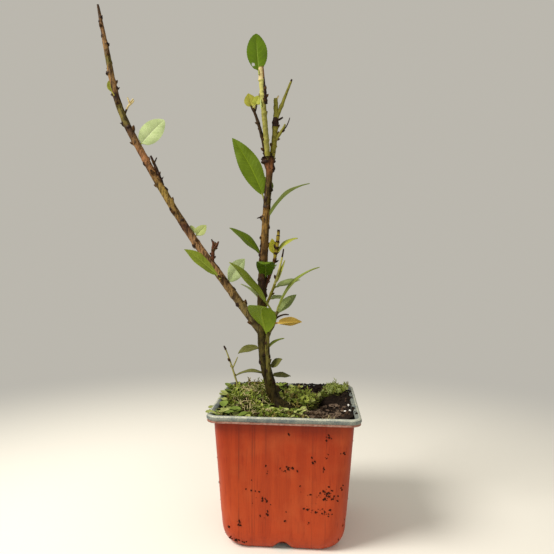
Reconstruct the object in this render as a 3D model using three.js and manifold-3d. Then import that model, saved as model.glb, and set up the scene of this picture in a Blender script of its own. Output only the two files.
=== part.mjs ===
// A young holly in a square plastic nursery pot: a leaning main stem, one long bare bough to the
// left, three pruned shoots at the head, single leaves and small leafy twigs, and moss on the compost.
// Millimetres, +Z up. The origin is the middle of the pot's flat underside, and -Y is the front.
import * as THREE from "three";
import { mergeVertices } from "three/addons/utils/BufferGeometryUtils.js";
import Module from "manifold-3d";

const wasm = await Module();
wasm.setup();

const GAP = 0.3; // clearance between neighbouring solids

// The pot: a 7 cm square, 6.5 cm tall, thin-walled, with a rolled rim and rounded foot
const POT = {
  height: 65,
  rimWidth: 70,
  rimCorner: 7,
  rimLip: 4, // how far down the rolled rim turns
  rimThickness: 1.4,
  rimRound: 1, // rounding of the rim's upper edges
  topWidth: 63.6,
  footWidth: 58.6,
  topCorner: 5.5,
  footCorner: 10.5,
  cornerSteps: 5, // facets round a quarter turn
  wall: 0.8,
  floor: 1,
  footRound: 8, // height over which the wall curves in to the underside
  footInset: 3, // and how far it curves in
};
const WALL_TOP = POT.height - 3; // the wall ends under the rim's roof
const FOOT_LEVELS = [0.7, 2, 4, POT.footRound]; // heights of the sections round the foot
// A bell-shaped drain notch in the middle of each side
const NOTCH = { width: 9.4, height: 3.7, reach: 9, count: 4, steps: 12 };

// The compost, and the mounds of moss on it
const COMPOST = { level: 58, swell: 1.1, pitch: 9, phase: [1.2, 0.4], calmRadius: 7, cells: 12 };
const DOME_SEGMENTS = [20, 10]; // of a mound of moss, round it and up it
const MOSS_MOUNDS = {
  moss_left: { x: -19.5, y: 9, radiusX: 15, radiusY: 22, height: 7.5 },
  moss_front: { x: -4, y: -21, radiusX: 16, radiusY: 10, height: 2.8 },
  moss_middle: { x: 6.5, y: 14, radiusX: 10, radiusY: 15.5, height: 4.6 },
  moss_corner: { x: 25, y: 20, radiusX: 8.5, radiusY: 11, height: 7.5 },
};

// The woody limbs, by stations along each centreline: x, y, z and the radius there.
// The stem starts below its flat cut, so that the cut crosses the root flare.
const LIMBS = {
  trunk: {
    stations: [
      [0.5, 0, COMPOST.level - 4, 6.2], [-6, 0, 64.5, 3], [-9.8, 0, 76, 2.75], [-12.5, 0, 90, 2.6],
      [-13.6, 0, 111, 2.3], [-12.9, 0, 135, 2.15], [-11.7, 0, 160, 1.85], [-10.4, 0, 179, 1.65],
      [-10.5, 0, 184.5, 2.3], [-10.8, 0, 189, 3],
    ],
    cutAt: COMPOST.level + GAP,
    sides: 12,
    budSpacing: 9.5,
    budLength: 1.9,
    seed: 11,
  },
  left_bough: {
    on: "trunk",
    stations: [
      [-13.2, 0, 99, 2.35], [-19.8, 0.5, 107.3, 2.1], [-34.9, 1.7, 127, 2.05], [-51, 3, 148.3, 2],
      [-67.6, 4.6, 173.5, 1.85], [-83.8, 6.4, 201.4, 1.75], [-88.5, 6.9, 210.5, 1.65],
      [-93.6, 7, 224.5, 1.5], [-98.4, 7, 247.5, 1.25], [-103, 7, 270.5, 0.6],
    ],
    sides: 10,
    budSpacing: 8.5,
    budLength: 2.2,
    seed: 23,
  },
  second_stem: {
    on: "trunk",
    stations: [
      [-8.4, -1.2, 70, 1.3], [-9.2, -3.5, 78, 1.2], [-10, -3.3, 90, 1.1], [-9.9, -3.3, 98, 1.05],
      [-7.2, -3.4, 103.6, 0.95], [-5.3, -3.5, 110.5, 0.6],
    ],
    sides: 8,
    budSpacing: 7,
    budLength: 1.5,
    seed: 5,
  },
};

// Side growth. Each spray starts inside a limb at a height above the pot's foot, and grows along an arc:
// azimuth is its compass bearing from +X towards +Y, rise its angle above level, bow how far it
// bends down and veer how far it turns round on the way, and roll the twist of a blade about its
// own midrib, all in degrees.
// The seedling starts inside a mound of moss instead, and is cut off just clear of it.
const SPRAYS = {
  bough_leaf_high: {
    on: "left_bough", height: 195.5, kind: "pale",
    leaves: [{ azimuth: 58, rise: 60, bow: 10, roll: -66, length: 23.5, width: 11 }],
  },
  bough_twig_high: {
    on: "left_bough", height: 211, kind: "bare",
    stem: { azimuth: 12, rise: 80, bow: 30, length: 11.5, radius: 0.55 },
  },
  bough_bud_leaf: {
    on: "left_bough", height: 222.5, kind: "young",
    leaves: [{ azimuth: 190, rise: 34, bow: -50, roll: 60, length: 9, width: 3.4 }],
  },
  bough_leaf_pair: {
    on: "left_bough", height: 147, kind: "pale",
    leaves: [
      { azimuth: 35, rise: 53, bow: 14, roll: -60, length: 10.5, width: 5.5 },
      { azimuth: 120, rise: 56, bow: 0, roll: 40, length: 9, width: 4.5 },
    ],
  },
  bough_spur: {
    on: "left_bough", height: 133.5, kind: "bare",
    stem: { azimuth: 60, rise: 86, bow: 0, length: 12.5, radius: 0.9, budSpacing: 2.6 },
    spur: { at: 0.62, azimuth: 5, rise: 48, bow: -20, length: 5.5, radius: 0.7 },
  },
  bough_spur_high: {
    on: "left_bough", height: 175, kind: "bare", offset: [1.5, 0],
    stem: { azimuth: 178, rise: 70, bow: 6, length: 17, radius: 1, budSpacing: 3.2 },
  },
  bough_leaf_low: {
    on: "left_bough", height: 126.5, kind: "mature",
    leaves: [{ azimuth: 192, rise: 51, bow: 24, roll: 46, length: 24, width: 8.5 }],
  },
  bough_leaf_back: {
    on: "left_bough", height: 123, kind: "pale",
    leaves: [{ azimuth: 65, rise: 51, bow: 16, roll: -64, length: 20.5, width: 10 }],
  },
  head_shoot_left: {
    on: "trunk", height: 187.5, kind: "young", offset: [-1.5, 0.7],
    stem: { azimuth: 195, rise: 83, bow: 16, length: 27, radius: 0.95, budSpacing: 6 },
    leaves: [
      { at: 0.93, azimuth: 176, rise: 66, bow: -10, roll: 74, length: 10, width: 6.5 },
      { at: 0.97, azimuth: 10, rise: 74, bow: 10, roll: -72, length: 8, width: 5 },
    ],
  },
  head_shoot_middle: {
    on: "trunk", height: 187.5, kind: "young", offset: [-0.3, -1.6],
    stem: { azimuth: 205, rise: 84, bow: -1, length: 46, radius: 1.3, budSpacing: 11 },
    leaves: [
      { at: 0.42, azimuth: 208, rise: 58, bow: -34, roll: 30, length: 7, width: 2.6 },
    ],
    spur: { at: 0.5, azimuth: 330, rise: 74, bow: -30, length: 23, radius: 0.8 },
  },
  head_leaf_top: {
    on: "head_shoot_middle", height: 230.5, kind: "mature",
    leaves: [{ azimuth: 176, rise: 81, bow: -6, roll: 78, length: 22, width: 11.2, petiole: 3.5 }],
  },
  head_shoot_right: {
    on: "trunk", height: 187.5, kind: "young", offset: [1.5, 0.6],
    stem: { azimuth: 10, rise: 82, bow: -10, length: 31.5, radius: 1.35, budSpacing: 8 },
    leaves: [
      { at: 0.66, azimuth: 4, rise: 72, bow: 4, roll: 12, length: 20.5, width: 3.8 },
      { at: 0.33, azimuth: 350, rise: 50, bow: -14, roll: -50, length: 11, width: 3 },
    ],
  },
  trunk_leaf_tall: {
    on: "trunk", height: 163, kind: "mature",
    leaves: [{ azimuth: 165, rise: 73, bow: 22, roll: 78, length: 42, width: 11, petiole: 7 }],
  },
  trunk_leaf_right: {
    on: "trunk", height: 151, kind: "mature",
    leaves: [{ azimuth: 345, rise: 87, bow: 82, roll: -8, length: 36.5, width: 8.5, petiole: 9 }],
  },
  trunk_leaf_left: {
    on: "trunk", height: 137, kind: "mature",
    leaves: [{ azimuth: 186, rise: 59, bow: 34, roll: 30, length: 24, width: 8.5, petiole: 3.5 }],
  },
  trunk_leaf_front: {
    on: "trunk", height: 123.5, kind: "mature", offset: [0.8, 0],
    leaves: [{ azimuth: 274, rise: 84, bow: 108, roll: 0, length: 25, width: 9.4, petiole: 3.5 }],
  },
  trunk_leaf_crossing: {
    on: "trunk", height: 109.5, kind: "mature",
    stem: { azimuth: 328, rise: 18, bow: 0, length: 6.4, radius: 0.75 },
    leaves: [{ at: 0.95, azimuth: 208, rise: 59, bow: 24, roll: 38, length: 33, width: 9.4, petiole: 4 }],
  },
  trunk_leaf_behind: {
    on: "trunk", height: 115, kind: "mature",
    leaves: [{ azimuth: 160, rise: 53, bow: 40, roll: -4, length: 15.5, width: 4.5 }],
  },
  trunk_leaf_back_high: {
    on: "trunk", height: 166, kind: "mature",
    leaves: [{ azimuth: 100, rise: 58, bow: 30, roll: 0, length: 23, width: 8, petiole: 5 }],
  },
  trunk_leaf_back_middle: {
    on: "trunk", height: 129.5, kind: "mature",
    leaves: [{ azimuth: 78, rise: 26, bow: 30, roll: 0, length: 23, width: 7, petiole: 4 }],
  },
  trunk_leaf_back_low: {
    on: "trunk", height: 102, kind: "mature",
    leaves: [{ azimuth: 82, rise: 30, bow: 36, roll: 0, length: 27, width: 9, petiole: 4 }],
  },
  side_twig_upper: {
    on: "trunk", height: 119, kind: "young",
    stem: { azimuth: 8, rise: 70, bow: -8, length: 34, radius: 0.85, budSpacing: 3.6 },
    leaves: [
      { at: 0.56, azimuth: 200, rise: 82, bow: 0, roll: 70, length: 9, width: 4.2 },
      { at: 0.58, azimuth: 10, rise: 72, bow: 66, roll: -20, length: 16, width: 5 },
    ],
  },
  side_twig_inner: {
    on: "trunk", height: 112, kind: "mature", offset: [1.8, 0],
    stem: { azimuth: 330, rise: 58, bow: -20, length: 33, radius: 0.75, budSpacing: 7 },
    leaves: [
      { at: 0.15, azimuth: 50, rise: 14, bow: 12, roll: -20, length: 10.5, width: 4.5 },
      { at: 0.34, azimuth: 42, rise: 31, bow: 30, roll: -24, length: 14.5, width: 5.5 },
    ],
  },
  second_stem_leaf_front: {
    on: "second_stem", height: 97.5, kind: "mature",
    leaves: [{ azimuth: 225, rise: 87, bow: 88, veer: 75, roll: 0, length: 28.5, width: 14, petiole: 3 }],
  },
  second_stem_leaf_aged: {
    on: "second_stem", height: 104, kind: "aged",
    leaves: [{ azimuth: 352, rise: 18, bow: 24, roll: 34, length: 14, width: 6 }],
  },
  second_stem_leaf_right: {
    on: "second_stem", height: 107.5, kind: "mature",
    leaves: [{ azimuth: 40, rise: 56, bow: 32, roll: -24, length: 17.5, width: 6.4, petiole: 2.5 }],
  },
  second_stem_leaf_long: {
    on: "second_stem", height: 109.5, kind: "mature",
    leaves: [{ azimuth: 4, rise: 82, bow: 68, roll: -6, length: 34, width: 6.5, petiole: 3 }],
  },
  second_stem_stub: {
    on: "second_stem", height: 106, kind: "bare",
    stem: { azimuth: 4, rise: 52, bow: 62, length: 8, radius: 0.5 },
  },
  trunk_leaf_low_left: {
    on: "trunk", height: 90.5, kind: "mature",
    leaves: [{ azimuth: 196, rise: 22, bow: 62, roll: 30, length: 14, width: 5.5 }],
  },
  trunk_leaf_low_right: {
    on: "trunk", height: 88, kind: "young",
    leaves: [{ azimuth: 12, rise: 68, bow: 62, roll: -10, length: 14, width: 3.4 }],
  },
  trunk_leaf_lower_right: {
    on: "trunk", height: 80.5, kind: "mature",
    leaves: [{ azimuth: 340, rise: 32, bow: 0, roll: -46, length: 10.5, width: 5.5 }],
  },
  trunk_leaf_lowest_right: {
    on: "trunk", height: 76.5, kind: "mature",
    leaves: [{ azimuth: 20, rise: 10, bow: 26, roll: -24, length: 12.5, width: 5 }],
  },
  trunk_leaf_lowest_left: {
    on: "trunk", height: 77, kind: "mature",
    leaves: [{ azimuth: 176, rise: 29, bow: 66, roll: 8, length: 18.5, width: 5, petiole: 3 }],
  },
  seedling: {
    standsAt: [-27.3, 20, 62], standsIn: "moss_left", kind: "bare",
    stem: { azimuth: 172, rise: 75, bow: 8, length: 26, radius: 0.55, budSpacing: 5 },
    spur: { at: 0.55, azimuth: 20, rise: 66, bow: 0, length: 7, radius: 0.4 },
  },
};

const BLADE = {
  thickness: 0.55,
  stations: 8, // sections along the blade
  widestAt: 0.46, // share of the blade's length from its base
  fullness: 0.85, // under 1 gives a fuller outline than a sine arch
  fold: 0.16, // depth of the V along the midrib, as a share of the half width
  petiole: 2.2,
  petioleRadius: 0.5,
  leastHalf: 0.35,
  tipHalf: 0.25,
  tipThickness: 0.4,
};
const BUD = {
  turn: 137.5, // degrees from one bud to the next round a stem
  turnScatter: 50,
  spacingScatter: 0.5,
  size: 1.6,
  sizeScatter: 0.6,
  girth: 0.42, // half width as a share of its half length
  lean: 1.1, // how far it leans up its stem
  seat: 0.85, // where its middle lies, as a share of the stem's radius
  swelling: 0.14, // how much the stem thickens at it
  swellingReach: 2,
};
const RING_STEP = 4; // spacing of the rings along a limb
const TWIG_SIDES = 7;
const TWIG_TAPER = [1, 0.92, 0.7];
const FIRST_SPRAY_SEED = 100;

const LOOK_OF_KIND = { mature: "mature", pale: "pale", young: "young", aged: "aged", bare: "greenBark" };
const COLOURS = {
  terracotta: { color: 0xb04a28, roughness: 0.5 },
  rimGrey: { color: 0x7d8a88, roughness: 0.55 },
  compost: { color: 0x2e221b, roughness: 0.95 },
  moss: { color: 0x6f8a3a, roughness: 0.9 },
  bark: { color: 0x6b4a2f, roughness: 0.75 },
  greenBark: { color: 0x8a8a42, roughness: 0.6 },
  mature: { color: 0x4f7a28, roughness: 0.42 },
  pale: { color: 0x9db070, roughness: 0.5 },
  young: { color: 0xa3a843, roughness: 0.5 },
  aged: { color: 0xc08a2e, roughness: 0.55 },
};

// Small helpers
const radians = THREE.MathUtils.degToRad;
const vector = ([x, y, z]) => new THREE.Vector3(x, y, z);

function seededRandom(seed) {
  let state = seed;
  return () => {
    state = (state * 1664525 + 1013904223) % 4294967296;
    return state / 4294967296;
  };
}

// A closed solid from a three.js geometry, with faces that collapsed at a pole left out
function solidOf(geometry) {
  const bare = new THREE.BufferGeometry();
  bare.setAttribute("position", geometry.getAttribute("position"));
  bare.setIndex(geometry.index);
  const merged = mergeVertices(bare, 1e-4);
  const corners = [];
  const index = merged.index.array;
  for (let i = 0; i < index.length; i += 3) {
    const [a, b, c] = [index[i], index[i + 1], index[i + 2]];
    if (a !== b && b !== c && a !== c) corners.push(a, b, c);
  }
  const mesh = new wasm.Mesh({
    numProp: 3,
    vertProperties: new Float32Array(merged.attributes.position.array),
    triVerts: new Uint32Array(corners),
  });
  return new wasm.Manifold(mesh);
}

function geometryOf(solid) {
  const mesh = solid.getMesh();
  const geometry = new THREE.BufferGeometry();
  geometry.setAttribute("position", new THREE.BufferAttribute(mesh.vertProperties, 3));
  geometry.setIndex(new THREE.BufferAttribute(mesh.triVerts, 1));
  geometry.computeVertexNormals();
  return geometry;
}

function largestPiece(solid) {
  return solid.decompose().reduce((a, b) => (b.volume() > a.volume() ? b : a));
}

// Rings of equal count joined in order, with a fan over each end unless the last joins the first
function loft(rings, closed = false) {
  const count = rings[0].length;
  const positions = rings.flat().flatMap((p) => [p.x, p.y, p.z]);
  const faces = [];
  const spans = closed ? rings.length : rings.length - 1;
  for (let r = 0; r < spans; r++) {
    const [low, high] = [r * count, ((r + 1) % rings.length) * count];
    for (let i = 0; i < count; i++) {
      const j = (i + 1) % count;
      faces.push(low + i, low + j, high + j, low + i, high + j, high + i);
    }
  }
  const fan = (ring, base, flip) => {
    const middle = ring.reduce((sum, p) => sum.add(p), new THREE.Vector3()).divideScalar(count);
    const centre = positions.length / 3;
    positions.push(middle.x, middle.y, middle.z);
    for (let i = 0; i < count; i++) {
      const j = (i + 1) % count;
      faces.push(centre, base + (flip ? j : i), base + (flip ? i : j));
    }
  };
  if (!closed) {
    fan(rings[0], 0, true);
    fan(rings.at(-1), (rings.length - 1) * count, false);
  }
  const geometry = new THREE.BufferGeometry();
  geometry.setAttribute("position", new THREE.Float32BufferAttribute(positions, 3));
  geometry.setIndex(faces);
  return geometry;
}

// Pot and compost

// One level of a square with round corners, anticlockwise from above
function roundedSquare(half, corner, z) {
  const outline = new THREE.Shape();
  const reach = half - corner;
  const turns = [[1, -1, -90], [1, 1, 0], [-1, 1, 90], [-1, -1, 180]];
  for (const [sideX, sideY, from] of turns) {
    outline.absarc(sideX * reach, sideY * reach, corner, radians(from), radians(from + 90), false);
  }
  const points = outline.getPoints(POT.cornerSteps);
  if (points[0].distanceTo(points.at(-1)) < 1e-6) points.pop();
  return points.map((p) => new THREE.Vector3(p.x, p.y, z));
}

// Half width of the pot's outside at a height, with the curve in to the foot
function potHalf(z) {
  const straight = THREE.MathUtils.lerp(POT.footWidth, POT.topWidth, z / WALL_TOP) / 2;
  const under = Math.max(0, POT.footRound - z) / POT.footRound;
  return straight - POT.footInset * (1 - Math.sqrt(1 - under * under));
}

function potLevel(z, inset) {
  const corner = THREE.MathUtils.lerp(POT.footCorner, POT.topCorner, z / WALL_TOP) - inset;
  return roundedSquare(potHalf(z) - inset, corner, z);
}

function potSolid() {
  const outside = solidOf(loft([0, ...FOOT_LEVELS, WALL_TOP].map((z) => potLevel(z, 0))));
  const inside = [POT.floor, ...FOOT_LEVELS.slice(1), WALL_TOP + 1].map((z) => potLevel(z, POT.wall));
  return outside.subtract(solidOf(loft(inside))).subtract(notches());
}

// Bell-shaped drain notches that cut the foot of each side and a little of the floor
function notches() {
  const bell = new THREE.Shape();
  const { steps } = NOTCH;
  bell.moveTo(-NOTCH.width / 2, -1);
  for (let i = 0; i <= steps; i++) {
    const x = (i / steps - 0.5) * NOTCH.width;
    const share = (1 + Math.cos((2 * Math.PI * x) / NOTCH.width)) / 2;
    bell.lineTo(x, NOTCH.height * share);
  }
  bell.lineTo(NOTCH.width / 2, -1);
  const outer = POT.footWidth / 2 + 1;
  const cuts = [];
  for (let side = 0; side < NOTCH.count; side++) {
    const cut = new THREE.ExtrudeGeometry(bell, { depth: NOTCH.reach, bevelEnabled: false, steps: 1 });
    cut.rotateX(Math.PI / 2);
    cut.translate(0, NOTCH.reach - outer, 0);
    cut.rotateZ((side * 2 * Math.PI) / NOTCH.count);
    cuts.push(solidOf(cut));
  }
  return cuts.reduce((a, b) => a.add(b));
}

// The rolled rim, as an inverted L in section: a roof over the wall's top and a lip outside it
function rimSolid() {
  const [top, lip, roof] = [POT.height, POT.height - POT.rimLip, WALL_TOP + GAP];
  const { rimThickness, rimRound: round } = POT;
  const edge = round * (1 - Math.SQRT1_2);
  const roofWidth = (POT.rimWidth - POT.topWidth) / 2 + POT.wall;
  const section = [
    [round / 2, lip], [0, lip + round / 2], [0, top - round], [edge, top - edge], [round, top],
    [roofWidth - round, top], [roofWidth - edge, top - edge], [roofWidth, top - round], [roofWidth, roof],
    [rimThickness, roof], [rimThickness, lip],
  ];
  const half = POT.rimWidth / 2;
  const rings = section.map(([inset, z]) => roundedSquare(half - inset, POT.rimCorner - inset, z));
  return solidOf(loft(rings, true));
}

// Height of the compost: gently uneven, and level round the stem's foot
function compostHeight(x, y) {
  const [footX, footY] = LIMBS.trunk.stations[0];
  const away = Math.hypot(x - footX, y - footY);
  const { pitch, phase } = COMPOST;
  const wave = Math.sin(x / pitch + phase[0]) * Math.cos(y / pitch + phase[1]);
  const calm = THREE.MathUtils.smoothstep(away, COMPOST.calmRadius, 2 * COMPOST.calmRadius);
  return COMPOST.level + COMPOST.swell * wave * calm;
}

// All that lies under the compost's surface, or under one parallel to it
function underCompost(lift = 0) {
  const { cells } = COMPOST;
  const block = new THREE.BoxGeometry(POT.rimWidth, POT.rimWidth, 2, cells, cells, 1);
  const place = block.getAttribute("position");
  for (let i = 0; i < place.count; i++) {
    const top = place.getZ(i) > 0;
    place.setZ(i, top ? compostHeight(place.getX(i), place.getY(i)) + lift : 0);
  }
  return solidOf(block);
}

// The room inside the pot, clear of its wall and floor, carried up past the rim
function potRoom() {
  const inset = POT.wall + GAP;
  const levels = [POT.floor + GAP, ...FOOT_LEVELS.slice(1), WALL_TOP].map((z) => potLevel(z, inset));
  levels.push(levels.at(-1).map((p) => p.clone().setZ(2 * POT.height)));
  return solidOf(loft(levels));
}

// The dome that a mound of moss is cut from
function domeSolid({ x, y, radiusX, radiusY, height }, grow = 0) {
  const dome = new THREE.SphereGeometry(1, ...DOME_SEGMENTS);
  dome.rotateX(Math.PI / 2);
  dome.scale(radiusX + grow, radiusY + grow, height + grow);
  dome.translate(x, y, COMPOST.level + GAP);
  return solidOf(dome);
}

// A low mound of moss on the compost, cut clear of the stem that comes up beside it
function mossSolid(mound, stemSpace) {
  const clear = domeSolid(mound).intersect(potRoom()).subtract(underCompost(GAP)).subtract(stemSpace);
  return largestPiece(clear);
}

// Woody growth

// An arc that starts along azimuth and rise, and bends down by bow and round by veer on its way
function arcPath(root, { azimuth, rise, bow, veer = 0, length }, steps = 10) {
  const points = [root.clone()];
  for (let i = 0; i < steps; i++) {
    const share = (i + 0.5) / steps;
    const pitch = radians(rise - bow * share);
    const bearing = radians(azimuth + veer * share);
    const step = new THREE.Vector3(
      Math.cos(bearing) * Math.cos(pitch), Math.sin(bearing) * Math.cos(pitch), Math.sin(pitch),
    );
    points.push(points.at(-1).clone().addScaledVector(step, length / steps));
  }
  return new THREE.CatmullRomCurve3(points, false, "catmullrom", 0.5);
}

// A value read off an even list at a share of its length
function readOff(list, share) {
  const place = THREE.MathUtils.clamp(share, 0, 1) * (list.length - 1);
  const low = Math.min(Math.floor(place), list.length - 2);
  return THREE.MathUtils.lerp(list[low], list[low + 1], place - low);
}

// A tapering limb: a lathe turned to the taper, with a swelling at each bud, bent along the curve
function limbGeometry(curve, { radiusAt, sides, buds }, grow) {
  const length = curve.getLength();
  const steps = Math.max(5, Math.round(length / RING_STEP));
  const profile = [new THREE.Vector2(0, 0)];
  for (let i = 0; i <= steps; i++) {
    const near = Math.min(...buds.map((bud) => Math.abs(bud.at - i / steps) * length));
    const swelling = 1 + BUD.swelling * Math.exp(-((near / BUD.swellingReach) ** 2));
    profile.push(new THREE.Vector2(radiusAt(i / steps) * swelling + grow, i / steps));
  }
  profile.push(new THREE.Vector2(0, 1));
  const lathe = new THREE.LatheGeometry(profile, sides);
  const frames = curve.computeFrenetFrames(steps, false);
  const place = lathe.getAttribute("position");
  for (let i = 0; i < place.count; i++) {
    const share = place.getY(i);
    const row = Math.round(share * steps);
    const point = curve
      .getPointAt(share)
      .addScaledVector(frames.normals[row], place.getX(i))
      .addScaledVector(frames.binormals[row], -place.getZ(i));
    place.setXYZ(i, point.x, point.y, point.z);
  }
  return lathe;
}

// Buds spiral up a limb by a seeded rule: even spacing and a fixed turn, each a little disturbed
function budsAlong(length, { budSpacing, budLength = BUD.size, seed }) {
  const random = seededRandom(seed);
  const buds = [];
  const count = Math.floor((length - budSpacing) / budSpacing);
  for (let i = 1; i <= count; i++) {
    const along = i * budSpacing + (random() - 0.5) * BUD.spacingScatter * budSpacing;
    const turn = i * BUD.turn + (random() - 0.5) * BUD.turnScatter;
    const size = budLength * (1 + (random() - 0.5) * BUD.sizeScatter);
    buds.push({ at: along / length, turn: radians(turn), size });
  }
  return buds;
}

// A pointed bud that leans up its stem, its lower half sunk in the bark
function budGeometry(curve, bud, radius, grow) {
  const point = curve.getPointAt(bud.at);
  const along = curve.getTangentAt(bud.at);
  const level = Math.abs(along.z) > 0.98 ? new THREE.Vector3(1, 0, 0) : new THREE.Vector3(0, 0, 1);
  const side = new THREE.Vector3().crossVectors(along, level).normalize().applyAxisAngle(along, bud.turn);
  const lean = side.clone().addScaledVector(along, BUD.lean).normalize();
  const bump = new THREE.OctahedronGeometry(1, 0);
  bump.scale(bud.size * BUD.girth + grow, bud.size * BUD.girth + grow, bud.size + grow);
  bump.applyQuaternion(new THREE.Quaternion().setFromUnitVectors(new THREE.Vector3(0, 0, 1), lean));
  const seat = point.addScaledVector(side, radius * BUD.seat);
  bump.translate(seat.x, seat.y, seat.z);
  return bump;
}

// Everything below a level, for the flat cut under the stem
function groundBelow(level) {
  const slab = new THREE.BoxGeometry(POT.rimWidth, POT.rimWidth, POT.height);
  slab.translate(0, 0, level - POT.height / 2);
  return solidOf(slab);
}

function limbSolid(curve, shape, grow = 0) {
  let solid = solidOf(limbGeometry(curve, shape, grow));
  for (const bud of shape.buds) {
    solid = solid.add(solidOf(budGeometry(curve, bud, shape.radiusAt(bud.at), grow)));
  }
  return shape.cutAt ? solid.subtract(groundBelow(shape.cutAt - grow)) : solid;
}

// Leaves

// Half width of a blade at a share of its length, as a share of its greatest half width
function bladeOutline(share) {
  const power = Math.log(0.5) / Math.log(BLADE.widestAt);
  return Math.sin(Math.PI * share ** power) ** BLADE.fullness;
}

// A leaf with its stalk, lofted from six-cornered sections along its midrib
function leafGeometry(root, leaf) {
  const petiole = leaf.petiole ?? BLADE.petiole;
  const sections = [];
  const curve = arcPath(root, leaf);
  const addSection = (share, half, thickness, fold) => {
    const along = curve.getTangentAt(share);
    const bearing = radians(leaf.azimuth + (leaf.veer ?? 0) * share);
    const level = new THREE.Vector3(Math.sin(bearing), -Math.cos(bearing), 0);
    const side = level.applyAxisAngle(along, radians(-leaf.roll));
    const face = new THREE.Vector3().crossVectors(side, along).normalize();
    const corner = (across, lift) =>
      curve.getPointAt(share).addScaledVector(side, across * half).addScaledVector(face, lift);
    const [top, under, dip] = [thickness / 2, -thickness / 2, -fold * half];
    sections.push([
      corner(-1, under * 0.5), corner(-1, top * 0.5), corner(0, dip + top),
      corner(1, top * 0.5), corner(1, under * 0.5), corner(0, dip + under),
    ]);
  };
  const stalk = petiole / leaf.length;
  addSection(0, BLADE.petioleRadius, 2 * BLADE.petioleRadius, 0);
  addSection(stalk, BLADE.petioleRadius, 2 * BLADE.petioleRadius, 0);
  for (let i = 1; i < BLADE.stations; i++) {
    const share = i / BLADE.stations;
    const half = Math.max(BLADE.leastHalf, (bladeOutline(share) * leaf.width) / 2);
    addSection(stalk + (1 - stalk) * share, half, BLADE.thickness, BLADE.fold);
  }
  addSection(1, BLADE.tipHalf, BLADE.tipThickness, 0);
  return loft(sections);
}

// A leaning stem of a spray, thinner towards its tip
function twigSolid(curve, { radius, length, budSpacing }, seed, grow = 0) {
  const buds = budSpacing ? budsAlong(length, { budSpacing, seed }) : [];
  const radiusAt = (share) => radius * readOff(TWIG_TAPER, share);
  return limbSolid(curve, { radiusAt, sides: TWIG_SIDES, buds }, grow);
}

// One spray: its stem if it has one, with a spur and leaves fused on, cut clear of every limb so far.
// A spray's stem is itself a limb for what comes after it.
function spraySolid(name, spray, seed) {
  const root = spray.standsAt ? vector(spray.standsAt) : pointAtHeight(limbs[spray.on].curve, spray.height);
  const [offsetX, offsetY] = spray.offset ?? [0, 0];
  root.add(new THREE.Vector3(offsetX, offsetY, 0));
  const stem = spray.stem && arcPath(root, spray.stem);
  const pieces = stem ? [twigSolid(stem, spray.stem, seed)] : [];
  if (spray.spur) pieces.push(twigSolid(arcPath(stem.getPointAt(spray.spur.at), spray.spur), spray.spur));
  for (const leaf of spray.leaves ?? []) {
    pieces.push(solidOf(leafGeometry(stem ? stem.getPointAt(leaf.at) : root, leaf)));
  }
  const whole = pieces.reduce((a, b) => a.add(b));
  let clear = Object.values(limbs).reduce((solid, limb) => solid.subtract(limb.space), whole);
  if (spray.standsIn) clear = clear.subtract(domeSolid(MOSS_MOUNDS[spray.standsIn], GAP));
  if (stem) limbs[name] = { curve: stem, space: twigSolid(stem, spray.stem, seed, GAP) };
  return largestPiece(clear);
}

// Where a limb's centreline passes a height; every limb climbs all the way
function pointAtHeight(curve, height) {
  let [low, high] = [0, 1];
  for (let i = 0; i < 30; i++) {
    const middle = (low + high) / 2;
    if (curve.getPointAt(middle).z < height) low = middle;
    else high = middle;
  }
  return curve.getPointAt(low);
}

// Assembly

const group = new THREE.Group();
const material = Object.fromEntries(
  Object.entries(COLOURS).map(([name, look]) => [
    name, new THREE.MeshStandardMaterial({ ...look, metalness: 0 }),
  ]),
);

function addPart(name, solid, look) {
  const mesh = new THREE.Mesh(geometryOf(solid), material[look]);
  mesh.name = name;
  group.add(mesh);
}

addPart("pot", potSolid(), "terracotta");
addPart("pot_rim", rimSolid(), "rimGrey");
addPart("compost", potRoom().intersect(underCompost()), "compost");

// Each limb keeps its curve, and the space round it that what grows on it must leave clear
const limbs = {};
for (const [name, spec] of Object.entries(LIMBS)) {
  const centres = spec.stations.map(([x, y, z]) => new THREE.Vector3(x, y, z));
  const curve = new THREE.CatmullRomCurve3(centres, false, "catmullrom", 0.5);
  const radii = spec.stations.map((station) => station[3]);
  const radiusAt = (share) => readOff(radii, curve.getUtoTmapping(share));
  const shape = { ...spec, radiusAt, buds: budsAlong(curve.getLength(), spec) };
  let solid = limbSolid(curve, shape);
  if (spec.on) solid = largestPiece(solid.subtract(limbs[spec.on].space));
  limbs[name] = { curve, space: limbSolid(curve, shape, GAP) };
  addPart(name, solid, "bark");
}

for (const [name, mound] of Object.entries(MOSS_MOUNDS)) {
  addPart(name, mossSolid(mound, limbs.trunk.space), "moss");
}

Object.entries(SPRAYS).forEach(([name, spray], order) => {
  addPart(name, spraySolid(name, spray, FIRST_SPRAY_SEED + order), LOOK_OF_KIND[spray.kind]);
});

export default group;
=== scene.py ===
# The looks of a young holly in a square nursery pot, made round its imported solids.
# Sizes are in millimetres with +Z up and -Y the front, and each mesh is scaled to metres as it is made.
import math
import random

import bmesh
import bpy
import numpy as np
from mathutils import Matrix, Vector, noise


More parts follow.
